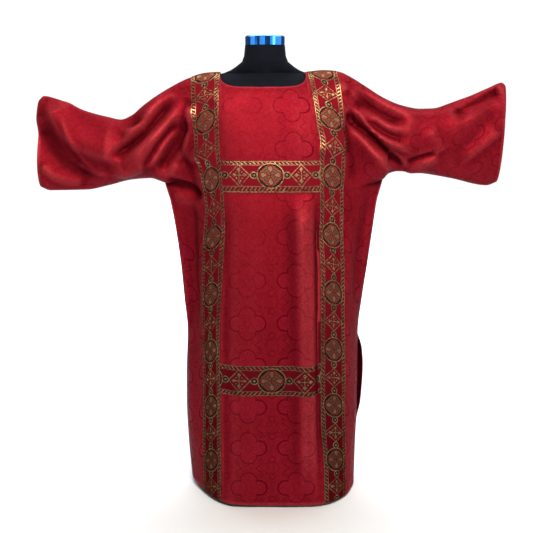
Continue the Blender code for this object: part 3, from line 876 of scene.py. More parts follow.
@dataclass(frozen=True)
class BrushedSteel(Finish):
    """Stainless steel, brushed: grey, with fine level scratches that spread its highlights."""

    name: str = "stainless_steel_brushed"
    colour: str = "#a9abad"
    # drawn out sideways and 1.1 mm apart: real grit lines are ten times finer, too fine to show
    scratches: tuple[float, float, float] = (20.0, 20.0, 900.0)

    def surface(self, tree: bpy.types.NodeTree) -> dict[str, Any]:
        """Adds the brushed steel's nodes.

        Args:
            tree: the material's node tree.

        Returns:
            The shader's inputs by name.
        """
        add = partial(add_node, tree)
        solid = add("TexCoord").outputs["Object"]
        stretch = add("Mapping", {}, {"Vector": solid, "Scale": self.scratches})
        lines = add("TexNoise", {}, {"Vector": stretch, "Scale": 1.0, "Detail": 2.0})
        rough = add("MapRange", {}, {"Value": lines, "To Min": 0.24, "To Max": 0.42})
        bump = add("Bump", {}, {"Height": lines, "Strength": 0.1, "Distance": 0.0002})
        return {"Base Color": linear(self.colour), "Roughness": rough, "Normal": bump, "Metallic": 1.0}


@dataclass(frozen=True)
class FloorPaint(Finish):
    """White paint, rolled matt: it takes the garment's shadow and gives no highlight."""

    name: str = "floor_white"
    colour: str = "#eff6ff"

    def surface(self, tree: bpy.types.NodeTree) -> dict[str, Any]:
        """The floor's shader inputs, which need no nodes."""
        return {"Base Color": linear(self.colour), "Roughness": 0.9, "Specular IOR Level": 0.1}


# ---------------------------------------------------------------- the cut and the drape
@dataclass(frozen=True)
class Cut:
    """Sizes of the flat cloth and of the grid that follows it."""

    body_half: float = 0.390     # on the flat cloth, from the centre front
    sleeve_reach: float = 0.320
    band_width: float = 0.090
    band_centre: float = 0.184
    ridge_z: float = 1.289       # the shoulder line
    corner_in: float = 0.012     # where the body's section bends back, inside a band's inner edge
    corner_soft: float = 0.016
    side_round: int = 8          # power of the section's turn at the side seams
    sleeve_start: float = 0.20
    underarm_sharp: int = 6      # power of the chest row's rise toward the underarm
    flank_crowding: float = 0.85
    neck_left: float = -0.139
    neck_right: float = 0.130
    neck_square: float = 5.0     # power of the neckline's curve: 2 would be an ellipse
    neck_drop_front: float = math.radians(31.0)
    neck_drop_back: float = math.radians(25.0)
    yoke_square: float = 2.35    # and of the yoke's section, away from the sleeves
    chest_z: float = 0.949
    knee_band_low: float = 0.353
    hem_z: float = 0.008
    hem_lift_left: float = 0.014
    slit_top: float = 0.489
    slit_part: float = 0.0030
    seam_gap: float = 0.0003
    wall: float = 0.0012
    band_wall: float = 0.0009
    sleeve_sag: float = 0.20
    sleeve_take_up: float = 0.18   # cloth in a sleeve's small folds, as a share of its length as it hangs
    neck_steps: int = 20         # cells of the grid
    shoulder_steps: int = 2
    band_steps: int = 16
    flank_steps: int = 30
    sleeve_steps: int = 72
    yoke_steps: int = 52
    chest_band_steps: int = 16
    row_height: float = 0.0060
    section_points: int = 400    # fine points that lengths are measured along
    ruler_points: int = 241
    curve_points: int = 41       # of a crease
    lift_over: float = 0.067     # below the chest row, where the underarm's lift has died away
    ridge_calm: float = 2.6      # how soon creases grow below the shoulder line
    side_calm: float = 0.045     # and how far from the side seams
    corner_z: float = 0.965      # the underarm corners, and how far round them the cloth is held
    corner_calm: float = 0.05
    slit_soft: float = 0.05
    crease_reach: float = 3.0    # flank widths beyond which a crease is nothing
    unevenness: float = 0.0007

    @property
    def band_in(self) -> float:
        """Inner edge of an orphrey band, from the centre front."""
        return self.band_centre - self.band_width / 2

    @property
    def band_out(self) -> float:
        """Outer edge of an orphrey band, from the centre front."""
        return self.band_centre + self.band_width / 2


# height and centre, places from left to right, depths before and behind, and turns at left and right
RINGS = [
    Ring(0.008, 0.023, -0.236, -0.188, -0.134, 0.181, 0.249, 0.286, 0.210, 0.206, 0.62, 0.34),
    Ring(0.140, 0.022, -0.245, -0.190, -0.134, 0.180, 0.246, 0.288, 0.206, 0.202, 0.66, 0.38),
    Ring(0.260, 0.021, -0.249, -0.188, -0.134, 0.176, 0.242, 0.291, 0.201, 0.197, 0.75, 0.43),
    Ring(0.380, 0.020, -0.247, -0.187, -0.134, 0.174, 0.237, 0.291, 0.195, 0.190, 0.78, 0.50),
    Ring(0.500, 0.020, -0.242, -0.187, -0.135, 0.174, 0.234, 0.290, 0.188, 0.182, 0.78, 0.58),
    Ring(0.600, 0.019, -0.250, -0.189, -0.132, 0.173, 0.233, 0.300, 0.179, 0.174, 0.86, 0.72),
    Ring(0.710, 0.019, -0.259, -0.188, -0.126, 0.172, 0.233, 0.315, 0.168, 0.164, 0.92, 0.88),
    Ring(0.822, 0.018, -0.273, -0.181, -0.120, 0.167, 0.229, 0.329, 0.156, 0.154, 0.98, 0.96),
    Ring(0.896, 0.017, -0.286, -0.175, -0.118, 0.163, 0.230, 0.339, 0.147, 0.146, 1.00, 1.00),
    Ring(0.949, 0.016, -0.303, -0.181, -0.120, 0.159, 0.229, 0.356, 0.140, 0.138, 1.00, 1.00),
]
RIGHT_SLIT = [
    SlitEdge(z=0.008, outward=0.000),
    SlitEdge(z=0.200, outward=0.002),
    SlitEdge(z=0.270, outward=0.013),
    SlitEdge(z=0.380, outward=0.018),
    SlitEdge(z=0.440, outward=0.014),
    SlitEdge(z=0.489, outward=0.000),
]
YOKE_LINES = [
    YokeLine(-0.390, -0.3733, 0.000), YokeLine(-0.229, -0.2155, -0.008), YokeLine(-0.139, -0.1322, -0.006),
    YokeLine(0.000, 0.0040, 0.000), YokeLine(0.130, 0.1172, 0.008), YokeLine(0.139, 0.1245, 0.010),
    YokeLine(0.229, 0.2095, 0.013), YokeLine(0.390, 0.3833, 0.000),
]
TOP_LINE = [
    Edge(-0.670, 1.207), Edge(-0.656, 1.219), Edge(-0.610, 1.208), Edge(-0.540, 1.177),
    Edge(-0.470, 1.158), Edge(-0.430, 1.150), Edge(-0.400, 1.161), Edge(-0.360, 1.193),
    Edge(-0.290, 1.239), Edge(-0.220, 1.273), Edge(-0.170, 1.286), Edge(-0.125, 1.288),
    Edge(0.125, 1.289), Edge(0.170, 1.293), Edge(0.216, 1.290), Edge(0.250, 1.276),
    Edge(0.290, 1.252), Edge(0.360, 1.210), Edge(0.410, 1.191), Edge(0.460, 1.182),
    Edge(0.500, 1.183), Edge(0.550, 1.198), Edge(0.610, 1.220), Edge(0.660, 1.242),
    Edge(0.702, 1.258), Edge(0.7105, 1.250),
]
LOWER_LINE = {
    Hand.LEFT: [Edge(-0.676, 0.948), Edge(-0.650, 0.938), Edge(-0.540, 0.940), Edge(-0.470, 0.954),
                Edge(-0.400, 0.971), Edge(-0.345, 0.975), Edge(-0.303, 0.962)],
    Hand.RIGHT: [Edge(0.356, 0.972), Edge(0.372, 0.989), Edge(0.400, 0.996), Edge(0.470, 0.990),
                 Edge(0.560, 0.975), Edge(0.670, 0.953), Edge(0.698, 0.963)],
}
CUFF_BOW = {Hand.LEFT: 0.006, Hand.RIGHT: 0.003}
SLEEVE_DEPTHS = [
    SleeveDepth(0.00, 0.085), SleeveDepth(0.30, 0.070), SleeveDepth(0.55, 0.057),
    SleeveDepth(0.80, 0.046), SleeveDepth(1.00, 0.038),
]

# start, middle, end, out, left, right, and then tips and side where they differ from the usual
FRONT_CREASES = [
    # left sleeve: a broad swag from the cuff's upper corner, steep on its lower side, and its hollow
    ((-0.640, 1.214), (-0.566, 1.088), (-0.410, 1.046), 0.026, 0.075, 0.024, 0.16),
    ((-0.664, 1.158), (-0.622, 1.040), (-0.480, 0.955), -0.026, 0.034, 0.042, 0.20),
    ((-0.470, 0.998), (-0.390, 1.010), (-0.305, 1.050), 0.022, 0.042, 0.016, 0.35),
    ((-0.602, 1.172), (-0.554, 1.062), (-0.497, 1.005), 0.0045, 0.011, 0.010),
    ((-0.668, 1.020), (-0.618, 0.974), (-0.540, 0.952), 0.007, 0.016, 0.014, 0.15),
    ((-0.560, 1.030), (-0.520, 1.000), (-0.440, 0.990), 0.004, 0.014, 0.010),
    ((-0.435, 1.136), (-0.386, 1.142), (-0.330, 1.168), -0.016, 0.020, 0.013, 0.50),
    # left shoulder: pulls that run from it into the sleeve's hollow and the underarm
    ((-0.262, 1.240), (-0.350, 1.150), (-0.425, 1.080), 0.014, 0.015, 0.022),
    ((-0.270, 1.226), (-0.350, 1.124), (-0.456, 1.034), -0.028, 0.015, 0.013, 0.22),
    ((-0.238, 1.206), (-0.318, 1.108), (-0.415, 1.022), 0.014, 0.024, 0.016),
    ((-0.246, 1.152), (-0.306, 1.086), (-0.364, 0.996), -0.012, 0.010, 0.010),
    ((-0.224, 1.168), (-0.262, 1.070), (-0.318, 0.980), -0.028, 0.016, 0.022, 0.24),
    ((-0.217, 1.205), (-0.226, 1.130), (-0.246, 1.050), 0.009, 0.012, 0.012, 0.25, -0.002),
    ((-0.302, 0.974), (-0.246, 0.950), (-0.178, 0.926), -0.014, 0.013, 0.022, 0.25, 0.004),
    ((-0.250, 1.060), (-0.228, 0.990), (-0.212, 0.900), -0.014, 0.020, 0.034),
    ((-0.290, 0.930), (-0.245, 0.905), (-0.190, 0.890), 0.005, 0.020, 0.024),
    # right shoulder and sleeve: a lit strip along the upper fold, a bowl under it, and a deep sharp fold
    ((0.290, 1.232), (0.460, 1.156), (0.690, 1.225), 0.014, 0.018, 0.085, 0.20),
    ((0.262, 1.240), (0.340, 1.184), (0.425, 1.138), -0.038, 0.012, 0.028, 0.34),
    ((0.232, 1.160), (0.262, 1.070), (0.272, 0.940), -0.016, 0.030, 0.022),
    ((0.286, 1.174), (0.342, 1.118), (0.428, 1.094), -0.027, 0.016, 0.014, 0.38),
    ((0.246, 1.186), (0.332, 1.110), (0.445, 1.052), 0.014, 0.020, 0.012),
    ((0.236, 1.182), (0.312, 1.102), (0.412, 1.006), -0.030, 0.010, 0.015, 0.16),
    ((0.236, 1.150), (0.298, 1.078), (0.376, 1.004), 0.006, 0.012, 0.022),
    ((0.206, 1.268), (0.245, 1.232), (0.280, 1.196), 0.006, 0.012, 0.014),
    ((0.232, 1.240), (0.260, 1.214), (0.292, 1.188), -0.007, 0.010, 0.012),
    ((0.412, 1.026), (0.455, 1.041), (0.505, 1.058), -0.010, 0.009, 0.010),
    ((0.412, 1.003), (0.460, 1.018), (0.515, 1.058), 0.009, 0.010, 0.022),
    ((0.692, 1.248), (0.625, 1.206), (0.545, 1.160), -0.018, 0.020, 0.010, 0.18),
    ((0.700, 1.195), (0.630, 1.110), (0.540, 1.030), -0.007, 0.030, 0.030),
    ((0.704, 1.128), (0.645, 1.078), (0.570, 1.022), 0.008, 0.014, 0.030),
    ((0.470, 1.130), (0.500, 1.090), (0.520, 1.050), 0.006, 0.022, 0.022),
    # body: a flute beside the right band that leans outward as it falls, and shallower ones
    ((0.100, 0.950), (0.113, 0.560), (0.124, 0.010), 0.017, 0.046, 0.022, 0.16),
    ((0.154, 0.950), (0.160, 0.560), (0.171, 0.010), -0.022, 0.030, 0.015, 0.22),
    ((-0.115, 0.930), (-0.117, 0.500), (-0.116, 0.010), -0.006, 0.022, 0.012, 0.12),
    ((-0.030, 0.890), (-0.034, 0.480), (-0.040, 0.010), 0.003, 0.045, 0.045, 0.2),
    ((-0.222, 0.980), (-0.226, 0.750), (-0.216, 0.450), -0.013, 0.022, 0.030, 0.25, 0.004),
    ((0.255, 0.900), (0.245, 0.620), (0.240, 0.250), 0.008, 0.028, 0.020),
    ((0.330, 0.930), (0.285, 0.760), (0.270, 0.560), -0.006, 0.018, 0.018),
    ((-0.240, 0.520), (-0.225, 0.300), (-0.215, 0.100), 0.005, 0.022, 0.022),
    # puckers that cross the right band, and small ones beside both
    ((-0.250, 1.050), (-0.195, 1.050), (-0.135, 1.050), 0.0, 0.028, 0.028, 0.25, -0.008),
    ((0.135, 1.100), (0.195, 1.100), (0.250, 1.100), 0.0, 0.030, 0.030, 0.25, 0.007),
    ((0.148, 1.062), (0.192, 1.066), (0.250, 1.080), 0.0075, 0.030, 0.010, 0.2),
    ((-0.250, 1.210), (-0.190, 1.196), (-0.140, 1.200), -0.0035, 0.012, 0.014, 0.2),
    ((-0.240, 1.010), (-0.200, 1.020), (-0.150, 1.012), -0.004, 0.012, 0.018, 0.2),
]
BACK_CREASES = [
    ((0.688, 1.160), (0.610, 1.040), (0.490, 0.985), -0.018, 0.040, 0.028, 0.18),
    ((0.668, 1.215), (0.570, 1.100), (0.450, 1.060), 0.016, 0.028, 0.060),
    ((0.600, 1.150), (0.560, 1.070), (0.500, 1.010), 0.003, 0.011, 0.011),
    ((0.265, 1.215), (0.345, 1.130), (0.430, 1.056), -0.016, 0.010, 0.015),
    ((0.255, 1.235), (0.330, 1.158), (0.410, 1.090), 0.009, 0.020, 0.010),
    ((0.235, 1.180), (0.305, 1.085), (0.380, 1.012), 0.010, 0.014, 0.022),
    ((0.240, 1.120), (0.290, 1.050), (0.350, 0.985), -0.013, 0.018, 0.012),
    ((0.340, 0.975), (0.280, 0.945), (0.215, 0.925), -0.008, 0.018, 0.014),
    ((-0.655, 1.180), (-0.580, 1.060), (-0.480, 0.990), -0.018, 0.026, 0.036, 0.18),
    ((-0.630, 1.210), (-0.540, 1.090), (-0.420, 1.060), 0.014, 0.055, 0.026),
    ((-0.255, 1.205), (-0.320, 1.112), (-0.400, 1.030), -0.016, 0.014, 0.010),
    ((-0.240, 1.222), (-0.300, 1.150), (-0.370, 1.080), 0.008, 0.012, 0.018),
    ((-0.232, 1.150), (-0.280, 1.065), (-0.330, 0.995), -0.013, 0.013, 0.018),
    ((-0.300, 0.965), (-0.240, 0.940), (-0.170, 0.915), -0.008, 0.014, 0.018),
    ((-0.150, 0.900), (-0.160, 0.500), (-0.165, 0.010), -0.009, 0.022, 0.018, 0.12),
    ((-0.050, 0.860), (-0.060, 0.480), (-0.062, 0.010), 0.008, 0.024, 0.016, 0.12),
    ((0.070, 0.880), (0.080, 0.500), (0.085, 0.010), -0.008, 0.026, 0.020, 0.12),
    ((0.190, 0.900), (0.200, 0.500), (0.205, 0.010), 0.008, 0.018, 0.028, 0.12),
    ((-0.105, 1.180), (-0.090, 1.080), (-0.100, 0.980), -0.004, 0.022, 0.022),
    ((0.060, 1.190), (0.075, 1.090), (0.060, 0.980), 0.004, 0.024, 0.024),
]


class Drape:
    """One sheet's fine grid: points, normals and flat-cloth coordinates."""

    def __init__(self, cut: Cut, side: Side) -> None:
        """Works out the whole grid.

        Args:
            cut: the sizes.
            side: front or back.
        """
        self.cut = cut
        self.side = side
        self.columns = self._columns()
        self.rows = self._rows()
        self.first = int(np.argmin(np.abs(self.columns + cut.body_half)))
        self.last = int(np.argmin(np.abs(self.columns - cut.body_half)))
        self.yoke_rows = cut.yoke_steps + cut.chest_band_steps
        self._lay_out()

    def _columns(self) -> np.ndarray:
        """Spaces the columns, close together over the neck, the bands and the sides.

        Returns:
            Distances from the centre front on the flat cloth, left cuff to right cuff.
        """
        cut = self.cut
        flank = np.linspace(0, 1, cut.flank_steps + 1)[1:]
        right = np.concatenate([
            cut.neck_right * np.sin(np.linspace(0, math.pi / 2, cut.neck_steps)),
            np.linspace(cut.neck_right, cut.band_in, cut.shoulder_steps + 1)[1:],
            np.linspace(cut.band_in, cut.band_out, cut.band_steps + 1)[1:],
            cut.band_out + (cut.body_half - cut.band_out) * flank ** cut.flank_crowding,
            np.linspace(cut.body_half, cut.body_half + cut.sleeve_reach, cut.sleeve_steps + 1)[1:],
        ])
        return np.concatenate([-right[:0:-1], right])

    def _rows(self) -> np.ndarray:
        """Spaces the rows below the chest row, with one on each edge of the knee band and slit.

        Returns:
            Their heights, from the chest row down to the hem.
        """
        cut = self.cut
        stops = [cut.chest_z, cut.slit_top, cut.knee_band_low + cut.band_width, cut.knee_band_low, cut.hem_z]
        rows = [cut.chest_z]
        for top, low in zip(stops, stops[1:]):
            rows.extend(np.linspace(top, low, max(2, round((top - low) / cut.row_height)) + 1)[1:])
        return np.array(rows)

    def _ring(self, z: float, columns: np.ndarray) -> tuple[np.ndarray, np.ndarray, np.ndarray]:
        """The body's half section at a height, for columns given on the flat cloth.

        Args:
            z: the height.
            columns: distances from the centre front.

        Returns:
            x and y of each column, and its real distance from the centre front along the section.
        """
        cut = self.cut
        centre = column_of(RINGS, "z", "centre", z)
        depth = column_of(RINGS, "z", "front" if self.side is Side.FRONT else "back", z)
        unit = np.sin(np.linspace(0, math.pi / 2, cut.section_points))
        x, y, arc = np.empty_like(columns), np.empty_like(columns), np.empty_like(columns)
        for hand in Hand:
            name = hand.name.lower()
            band_in, band_out, half = (abs(column_of(RINGS, "z", name + edge, z) - centre)
                                       for edge in ("_in", "_out", ""))
            if self.side is Side.BACK and hand is Hand.RIGHT:
                half = half + column_of(RIGHT_SLIT, "z", "outward", z)
            across = unit * half
            turned_back = soft_ramp(across, band_in - cut.corner_in, cut.corner_soft)
            turn = column_of(RINGS, "z", name + "_turn", z)
            deep = depth * (1 - turn * turned_back / turned_back[-1]) * np.sqrt(1 - unit ** cut.side_round)
            run = np.concatenate([[0], np.cumsum(np.hypot(np.diff(across), np.diff(deep)))])
            marks = np.interp([0, band_in, band_out, half], across, run)
            mine = columns * hand.value >= 0
            here = np.interp(np.abs(columns[mine]), [0, cut.band_in, cut.band_out, cut.body_half], marks)
            x[mine] = centre + hand.value * np.interp(here, run, across)
            y[mine] = self.side.value * np.interp(here, run, deep)
            arc[mine] = hand.value * here
        return x, y, arc

    def _yoke(self) -> tuple[np.ndarray, np.ndarray, np.ndarray, np.ndarray, np.ndarray, np.ndarray]:
        """The rows from the shoulder line to the chest row, sleeves included.

        Returns:
            Points (rows, columns, 3), each point's turn from the shoulder line, each column's first turn,
            each point's distance down the flat cloth, its distance from the centre front, and how much
            cloth each column takes up in small folds.
        """
        cut, columns = self.cut, self.columns
        hand = np.where(columns < 0, -1, 1)
        past = np.clip((np.abs(columns) - cut.body_half) / cut.sleeve_reach, 0, 1)
        in_body = np.abs(columns) <= cut.body_half + TINY
        in_reach = np.clip(columns, -cut.body_half, cut.body_half)
        top_x = column_of(YOKE_LINES, "flat", "ridge", in_reach)
        cuff_top = np.where(hand < 0, TOP_LINE[0].x, TOP_LINE[-1].x)
        top_x = top_x + (cuff_top - top_x) * past
        top_z = column_of(TOP_LINE, "x", "z", top_x)

        low_x, low_y, arc = self._ring(cut.chest_z, in_reach)
        low_z = np.full(len(columns), cut.chest_z)
        for h in Hand:
            line = LOWER_LINE[h]
            underarm, cuff = (line[-1], line[0]) if h is Hand.LEFT else (line[0], line[-1])
            sleeve, body = (hand == h.value) & ~in_body, (hand == h.value) & in_body
            low_x[sleeve] = (underarm.x + (cuff.x - underarm.x) * past)[sleeve]
            low_z[sleeve] = column_of(line, "x", "z", low_x[sleeve])
            rise = np.abs(columns / cut.body_half) ** cut.underarm_sharp
            low_z[body] += ((underarm.z - cut.chest_z) * rise)[body]
        low_y = np.where(in_body, low_y, 0.0)
        sleeve_depth = column_of(SLEEVE_DEPTHS, "share", "depth", past)
        outward = ease((np.abs(columns) - cut.sleeve_start) / (cut.body_half - cut.sleeve_start))
        fullness = outward * sleeve_depth
        depth = np.where(in_body, np.hypot(low_y, fullness), sleeve_depth)
        end = math.pi / 2 + np.where(in_body, np.arctan2(fullness, np.abs(low_y)), math.pi / 2)

        middle, half = (cut.neck_left + cut.neck_right) / 2, (cut.neck_right - cut.neck_left) / 2
        opening = np.clip(np.abs((columns - middle) / half), 0, 1)
        drop = cut.neck_drop_front if self.side is Side.FRONT else cut.neck_drop_back
        start = drop * (1 - opening ** cut.neck_square) ** (1 / cut.neck_square)
        square = cut.yoke_square + (2 - cut.yoke_square) * outward
        band_share = (cut.ridge_z - cut.chest_z - cut.band_width) / (cut.ridge_z - cut.chest_z)
        full = 1 - squared(np.cos(end), 2 / square)
        band_turn = np.arccos(squared(1 - band_share * full, square / 2))
        bow_to = np.where(hand < 0, -CUFF_BOW[Hand.LEFT], CUFF_BOW[Hand.RIGHT]) * past ** 2
        bend = column_of(YOKE_LINES, "flat", "bend", in_reach)

        def share_of(turn: np.ndarray) -> np.ndarray:
            """How far down its column a turn is, from 0 at the shoulder line to 1 at the chest row."""
            return (1 - squared(np.cos(turn), 2 / square)) / full

        def place(turn: np.ndarray) -> np.ndarray:
            """The smooth drape's points.

            Args:
                turn: turns from the shoulder line, by row and column.

            Returns:
                Points (rows, columns, 3).
            """
            share = share_of(turn)
            sag = 1 - cut.sleeve_sag * ease(past * 2) * np.cos(turn)
            x = top_x + (low_x - top_x) * share + bow_to * np.sin(turn) + bend * 4 * share * (1 - share)
            y = self.side.value * depth * squared(np.sin(turn), 2 / square) * sag
            return np.stack([x, y, top_z + (low_z - top_z) * share], axis=-1)

        above = np.linspace(0, 1, cut.yoke_steps + 1)[:, None]
        below = np.linspace(0, 1, cut.chest_band_steps + 1)[1:, None]
        turn = np.vstack([start + (band_turn - start) * above, band_turn + (end - band_turn) * below])
        ruler = np.linspace(0, 1, cut.ruler_points)[:, None] * end
        run = np.linalg.norm(np.diff(place(ruler), axis=0), axis=2).cumsum(axis=0)
        run = np.vstack([np.zeros(len(columns)), run])
        down = np.stack([np.interp(turn[:, i], ruler[:, i], run[:, i]) for i in range(len(columns))], axis=1)
        taken_up = 1 + cut.sleeve_take_up * ease((np.abs(columns) - cut.sleeve_start) / cut.sleeve_reach)
        from_middle = columns + (arc - in_reach) * share_of(turn)
        from_middle = from_middle + (columns - in_reach) * cut.sleeve_take_up
        return place(turn), turn, start, down, from_middle, taken_up

    def _lay_out(self) -> None:
        """Numbers the grid, lays out its points, and creases them."""
        cut, columns, rows, first, last = self.cut, self.columns, self.rows, self.first, self.last
        upper, turn, start, down, from_middle, taken_up = self._yoke()
        count, wide = upper.shape[0], len(columns)
        body = columns[first:last + 1]
        lower = np.empty((len(rows), len(body), 3))
        lower[0] = upper[-1, first:last + 1]
        low_down, low_across = np.empty((len(rows), len(body))), np.empty((len(rows), len(body)))
        low_down[0] = down[-1, first:last + 1]
        for j, z in enumerate(rows[1:], 1):
            x, y, low_across[j] = self._ring(z, body)
            lift = (lower[0, :, 2] - cut.chest_z) * max(0.0, 1 - (cut.chest_z - z) / cut.lift_over)
            near_hem = ease((cut.knee_band_low - z) / cut.knee_band_low)
            lift = lift + cut.hem_lift_left * ease(-body / cut.body_half) * near_hem
            lower[j] = np.stack([x, y, z + lift], axis=-1)
            low_down[j] = low_down[j - 1] + np.linalg.norm(lower[j] - lower[j - 1], axis=1)

        self.yoke_id = np.arange(count * wide).reshape(count, wide)
        body_id = count * wide + np.arange((len(rows) - 1) * len(body)).reshape(len(rows) - 1, len(body))
        self.body_id = np.full((len(rows), wide), -1)
        self.body_id[0, first:last + 1] = self.yoke_id[-1, first:last + 1]
        self.body_id[1:, first:last + 1] = body_id
        points = np.vstack([upper.reshape(-1, 3), lower[1:].reshape(-1, 3)])
        flat_x = np.concatenate([np.tile(columns, count), np.tile(body, len(rows) - 1)])
        flat_y = np.concatenate([down.ravel(), low_down[1:].ravel()])
        self.flat = np.stack([flat_x, flat_y], axis=1)
        grain_y = np.concatenate([(down * taken_up).ravel(), low_down[1:].ravel()])
        grain_x = np.concatenate([from_middle.ravel(), low_across[1:].ravel()])
        self.grain = np.stack([grain_x, grain_y], axis=1)

        seam = np.zeros(len(points), bool)
        seam[self.yoke_id[0, start < TINY]] = True
        seam[self.yoke_id[-1, :first + 1]] = True
        seam[self.yoke_id[-1, last:]] = True
        seam[body_id[:, 0]] = seam[body_id[:, -1]] = True
        calm = np.ones(len(points))
        from_ridge = ease(cut.ridge_calm * np.sin(np.minimum(turn, math.pi / 2)))
        from_both = np.minimum(from_ridge, ease(cut.ridge_calm * np.sin(turn)))
        calm[self.yoke_id] = np.where(np.abs(columns) >= cut.body_half, from_both, from_ridge)
        calm[body_id] = ease((cut.body_half - np.abs(body)) / cut.side_calm)
        calm *= ease(np.hypot(np.abs(flat_x) - cut.body_half, points[:, 2] - cut.corner_z) / cut.corner_calm)

        self.quads = self.cells(self.yoke_id, 0, count - 1, 0, wide - 1)
        self.quads = np.vstack([self.quads, self.cells(self.body_id, 0, len(rows) - 1, first, last)])
        points = self._crease(points, calm)
        parted = ease((cut.slit_top - points[:, 2]) / cut.slit_soft) * (points[:, 2] < cut.slit_top)
        points[seam, 1] = self.side.value * (cut.seam_gap + (cut.slit_part - cut.seam_gap) * parted[seam]) / 2
        normals = point_normals(points, self.quads)
        normals[seam, 1] = 0.0
        self.normals = normals / np.maximum(np.linalg.norm(normals, axis=1, keepdims=True), TINY)
        self.points = points

    def cells(self, ids: np.ndarray, top: int, low: int, left: int, right: int) -> np.ndarray:
        """Quads of a block of cells, facing out of the garment.

        Args:
            ids: point numbers by row and column.
            top, low: first row and the row after the last cell.
            left, right: first column and the column after the last cell.

        Returns:
            One quad a row.
        """
        a, b = ids[top:low, left:right], ids[top:low, left + 1:right + 1]
        d, c = ids[top + 1:low + 1, left:right], ids[top + 1:low + 1, left + 1:right + 1]
        order = (a, d, c, b) if self.side is Side.FRONT else (a, b, c, d)
        return np.stack([k.ravel() for k in order], axis=1)

    def _uneven(self) -> np.ndarray:
        """Low bent waves in the cloth and slanted ones over them, of 23 to 68 radians in a metre.

        Returns:
            How far out each point moves.
        """
        s, d = self.flat[:, 0], self.flat[:, 1]
        bent = np.sin(31 * s + 4.0 * np.sin(7 * d)) * np.sin(23 * d + 3.0 * np.sin(9 * s) + 1.3)
        slanted = 0.6 * np.sin(67 * s + 11 * d) * np.sin(13 * d - 21 * s + 0.7)
        return self.cut.unevenness * (bent + slanted)

    def _crease(self, points: np.ndarray, calm: np.ndarray) -> np.ndarray:
        """The points moved by the side's creases and by the cloth's small unevenness.

        Args:
            points: the smooth drape.
            calm: 0 where a seam holds the cloth still, 1 where it is free.

        Returns:
            The creased points.
        """
        normals = point_normals(points, self.quads)
        flat = points[:, [0, 2]]
        out, slide = np.zeros(len(points)), np.zeros(len(points))
        t = np.linspace(0, 1, self.cut.curve_points)[:, None]
        for row in FRONT_CREASES if self.side is Side.FRONT else BACK_CREASES:
            crease = Crease(*row)
            a, m, b = (np.array(p) for p in (crease.start, crease.middle, crease.end))
            curve = a * (1 - t) ** 2 + 2 * (2 * m - (a + b) / 2) * t * (1 - t) + b * t * t
            reach = self.cut.crease_reach * max(crease.left, crease.right)
            near = np.all((flat > curve.min(axis=0) - reach) & (flat < curve.max(axis=0) + reach), axis=1)
            away = flat[near, None, :] - curve[None]
            k = np.linalg.norm(away, axis=2).argmin(axis=1)
            tangent = np.gradient(curve, axis=0)[k]
            nearest = away[np.arange(len(k)), k]
            step = np.linalg.norm(tangent, axis=1)
            beside = (tangent[:, 0] * nearest[:, 1] - tangent[:, 1] * nearest[:, 0]) / step
            width = np.where(beside > 0, crease.left, crease.right)
            along = np.clip((k + (tangent * nearest).sum(axis=1) / step ** 2) / (len(curve) - 1), 0, 1)
            ends = ease(along / crease.tips) * ease((1 - along) / crease.tips)
            strength = np.exp(-(beside / width) ** 2) * ends
            out[near] += crease.out * strength
            slide[near] += crease.side * strength
        moved = points + normals * ((out + self._uneven()) * calm)[:, None]
        moved[:, 0] += slide * calm
        return moved


# ---------------------------------------------------------------- meshes of the cloth
def shell(name: str, inner: np.ndarray, outer: np.ndarray, quads: np.ndarray, flat: np.ndarray,
          material: bpy.types.Material) -> bpy.types.Object:
    """A closed thin shell between two layers of points.

    Args:
        name: the piece's name.
        inner: points of the hidden side.
        outer: points of the shown side.
        quads: cells of the shown side, facing out.
        flat: flat-cloth place of each point, for the pattern.
        material: its finish.

    Returns:
        The new object.
    """
    count = len(outer)
    pairs = np.concatenate([quads[:, [k, (k + 1) % 4]] for k in range(4)])
    have = set(map(tuple, pairs.tolist()))
    rim = np.array([(a, b) for a, b in have if (b, a) not in have])
    rim = rim[np.lexsort((rim[:, 1], rim[:, 0]))]
    sides = np.stack([rim[:, 1], rim[:, 0], rim[:, 0] + count, rim[:, 1] + count], axis=1)
    faces = np.vstack([quads, quads[:, ::-1] + count, sides])
    mesh = bpy.data.meshes.new(name)
    mesh.from_pydata(np.vstack([outer, inner]).tolist(), [], faces.tolist())
    cloth_map = mesh.uv_layers.new(name=CLOTH_MAP)
    corner = np.empty(len(mesh.loops), dtype=np.int64)
    mesh.loops.foreach_get("vertex_index", corner)
    cloth_map.data.foreach_set("uv", np.vstack([flat, flat])[corner].ravel())
    mesh.shade_smooth()
    mesh.set_sharp_from_angle(angle=SHARP_FROM)
    mesh.materials.append(material)
    return add_object(name, mesh)


def flat_area(points: np.ndarray, quads: np.ndarray) -> float:
    """Area of one layer of cloth."""
    cross = np.cross(points[quads[:, 2]] - points[quads[:, 0]], points[quads[:, 3]] - points[quads[:, 1]])
    return float(np.linalg.norm(cross, axis=1).sum() / 2)


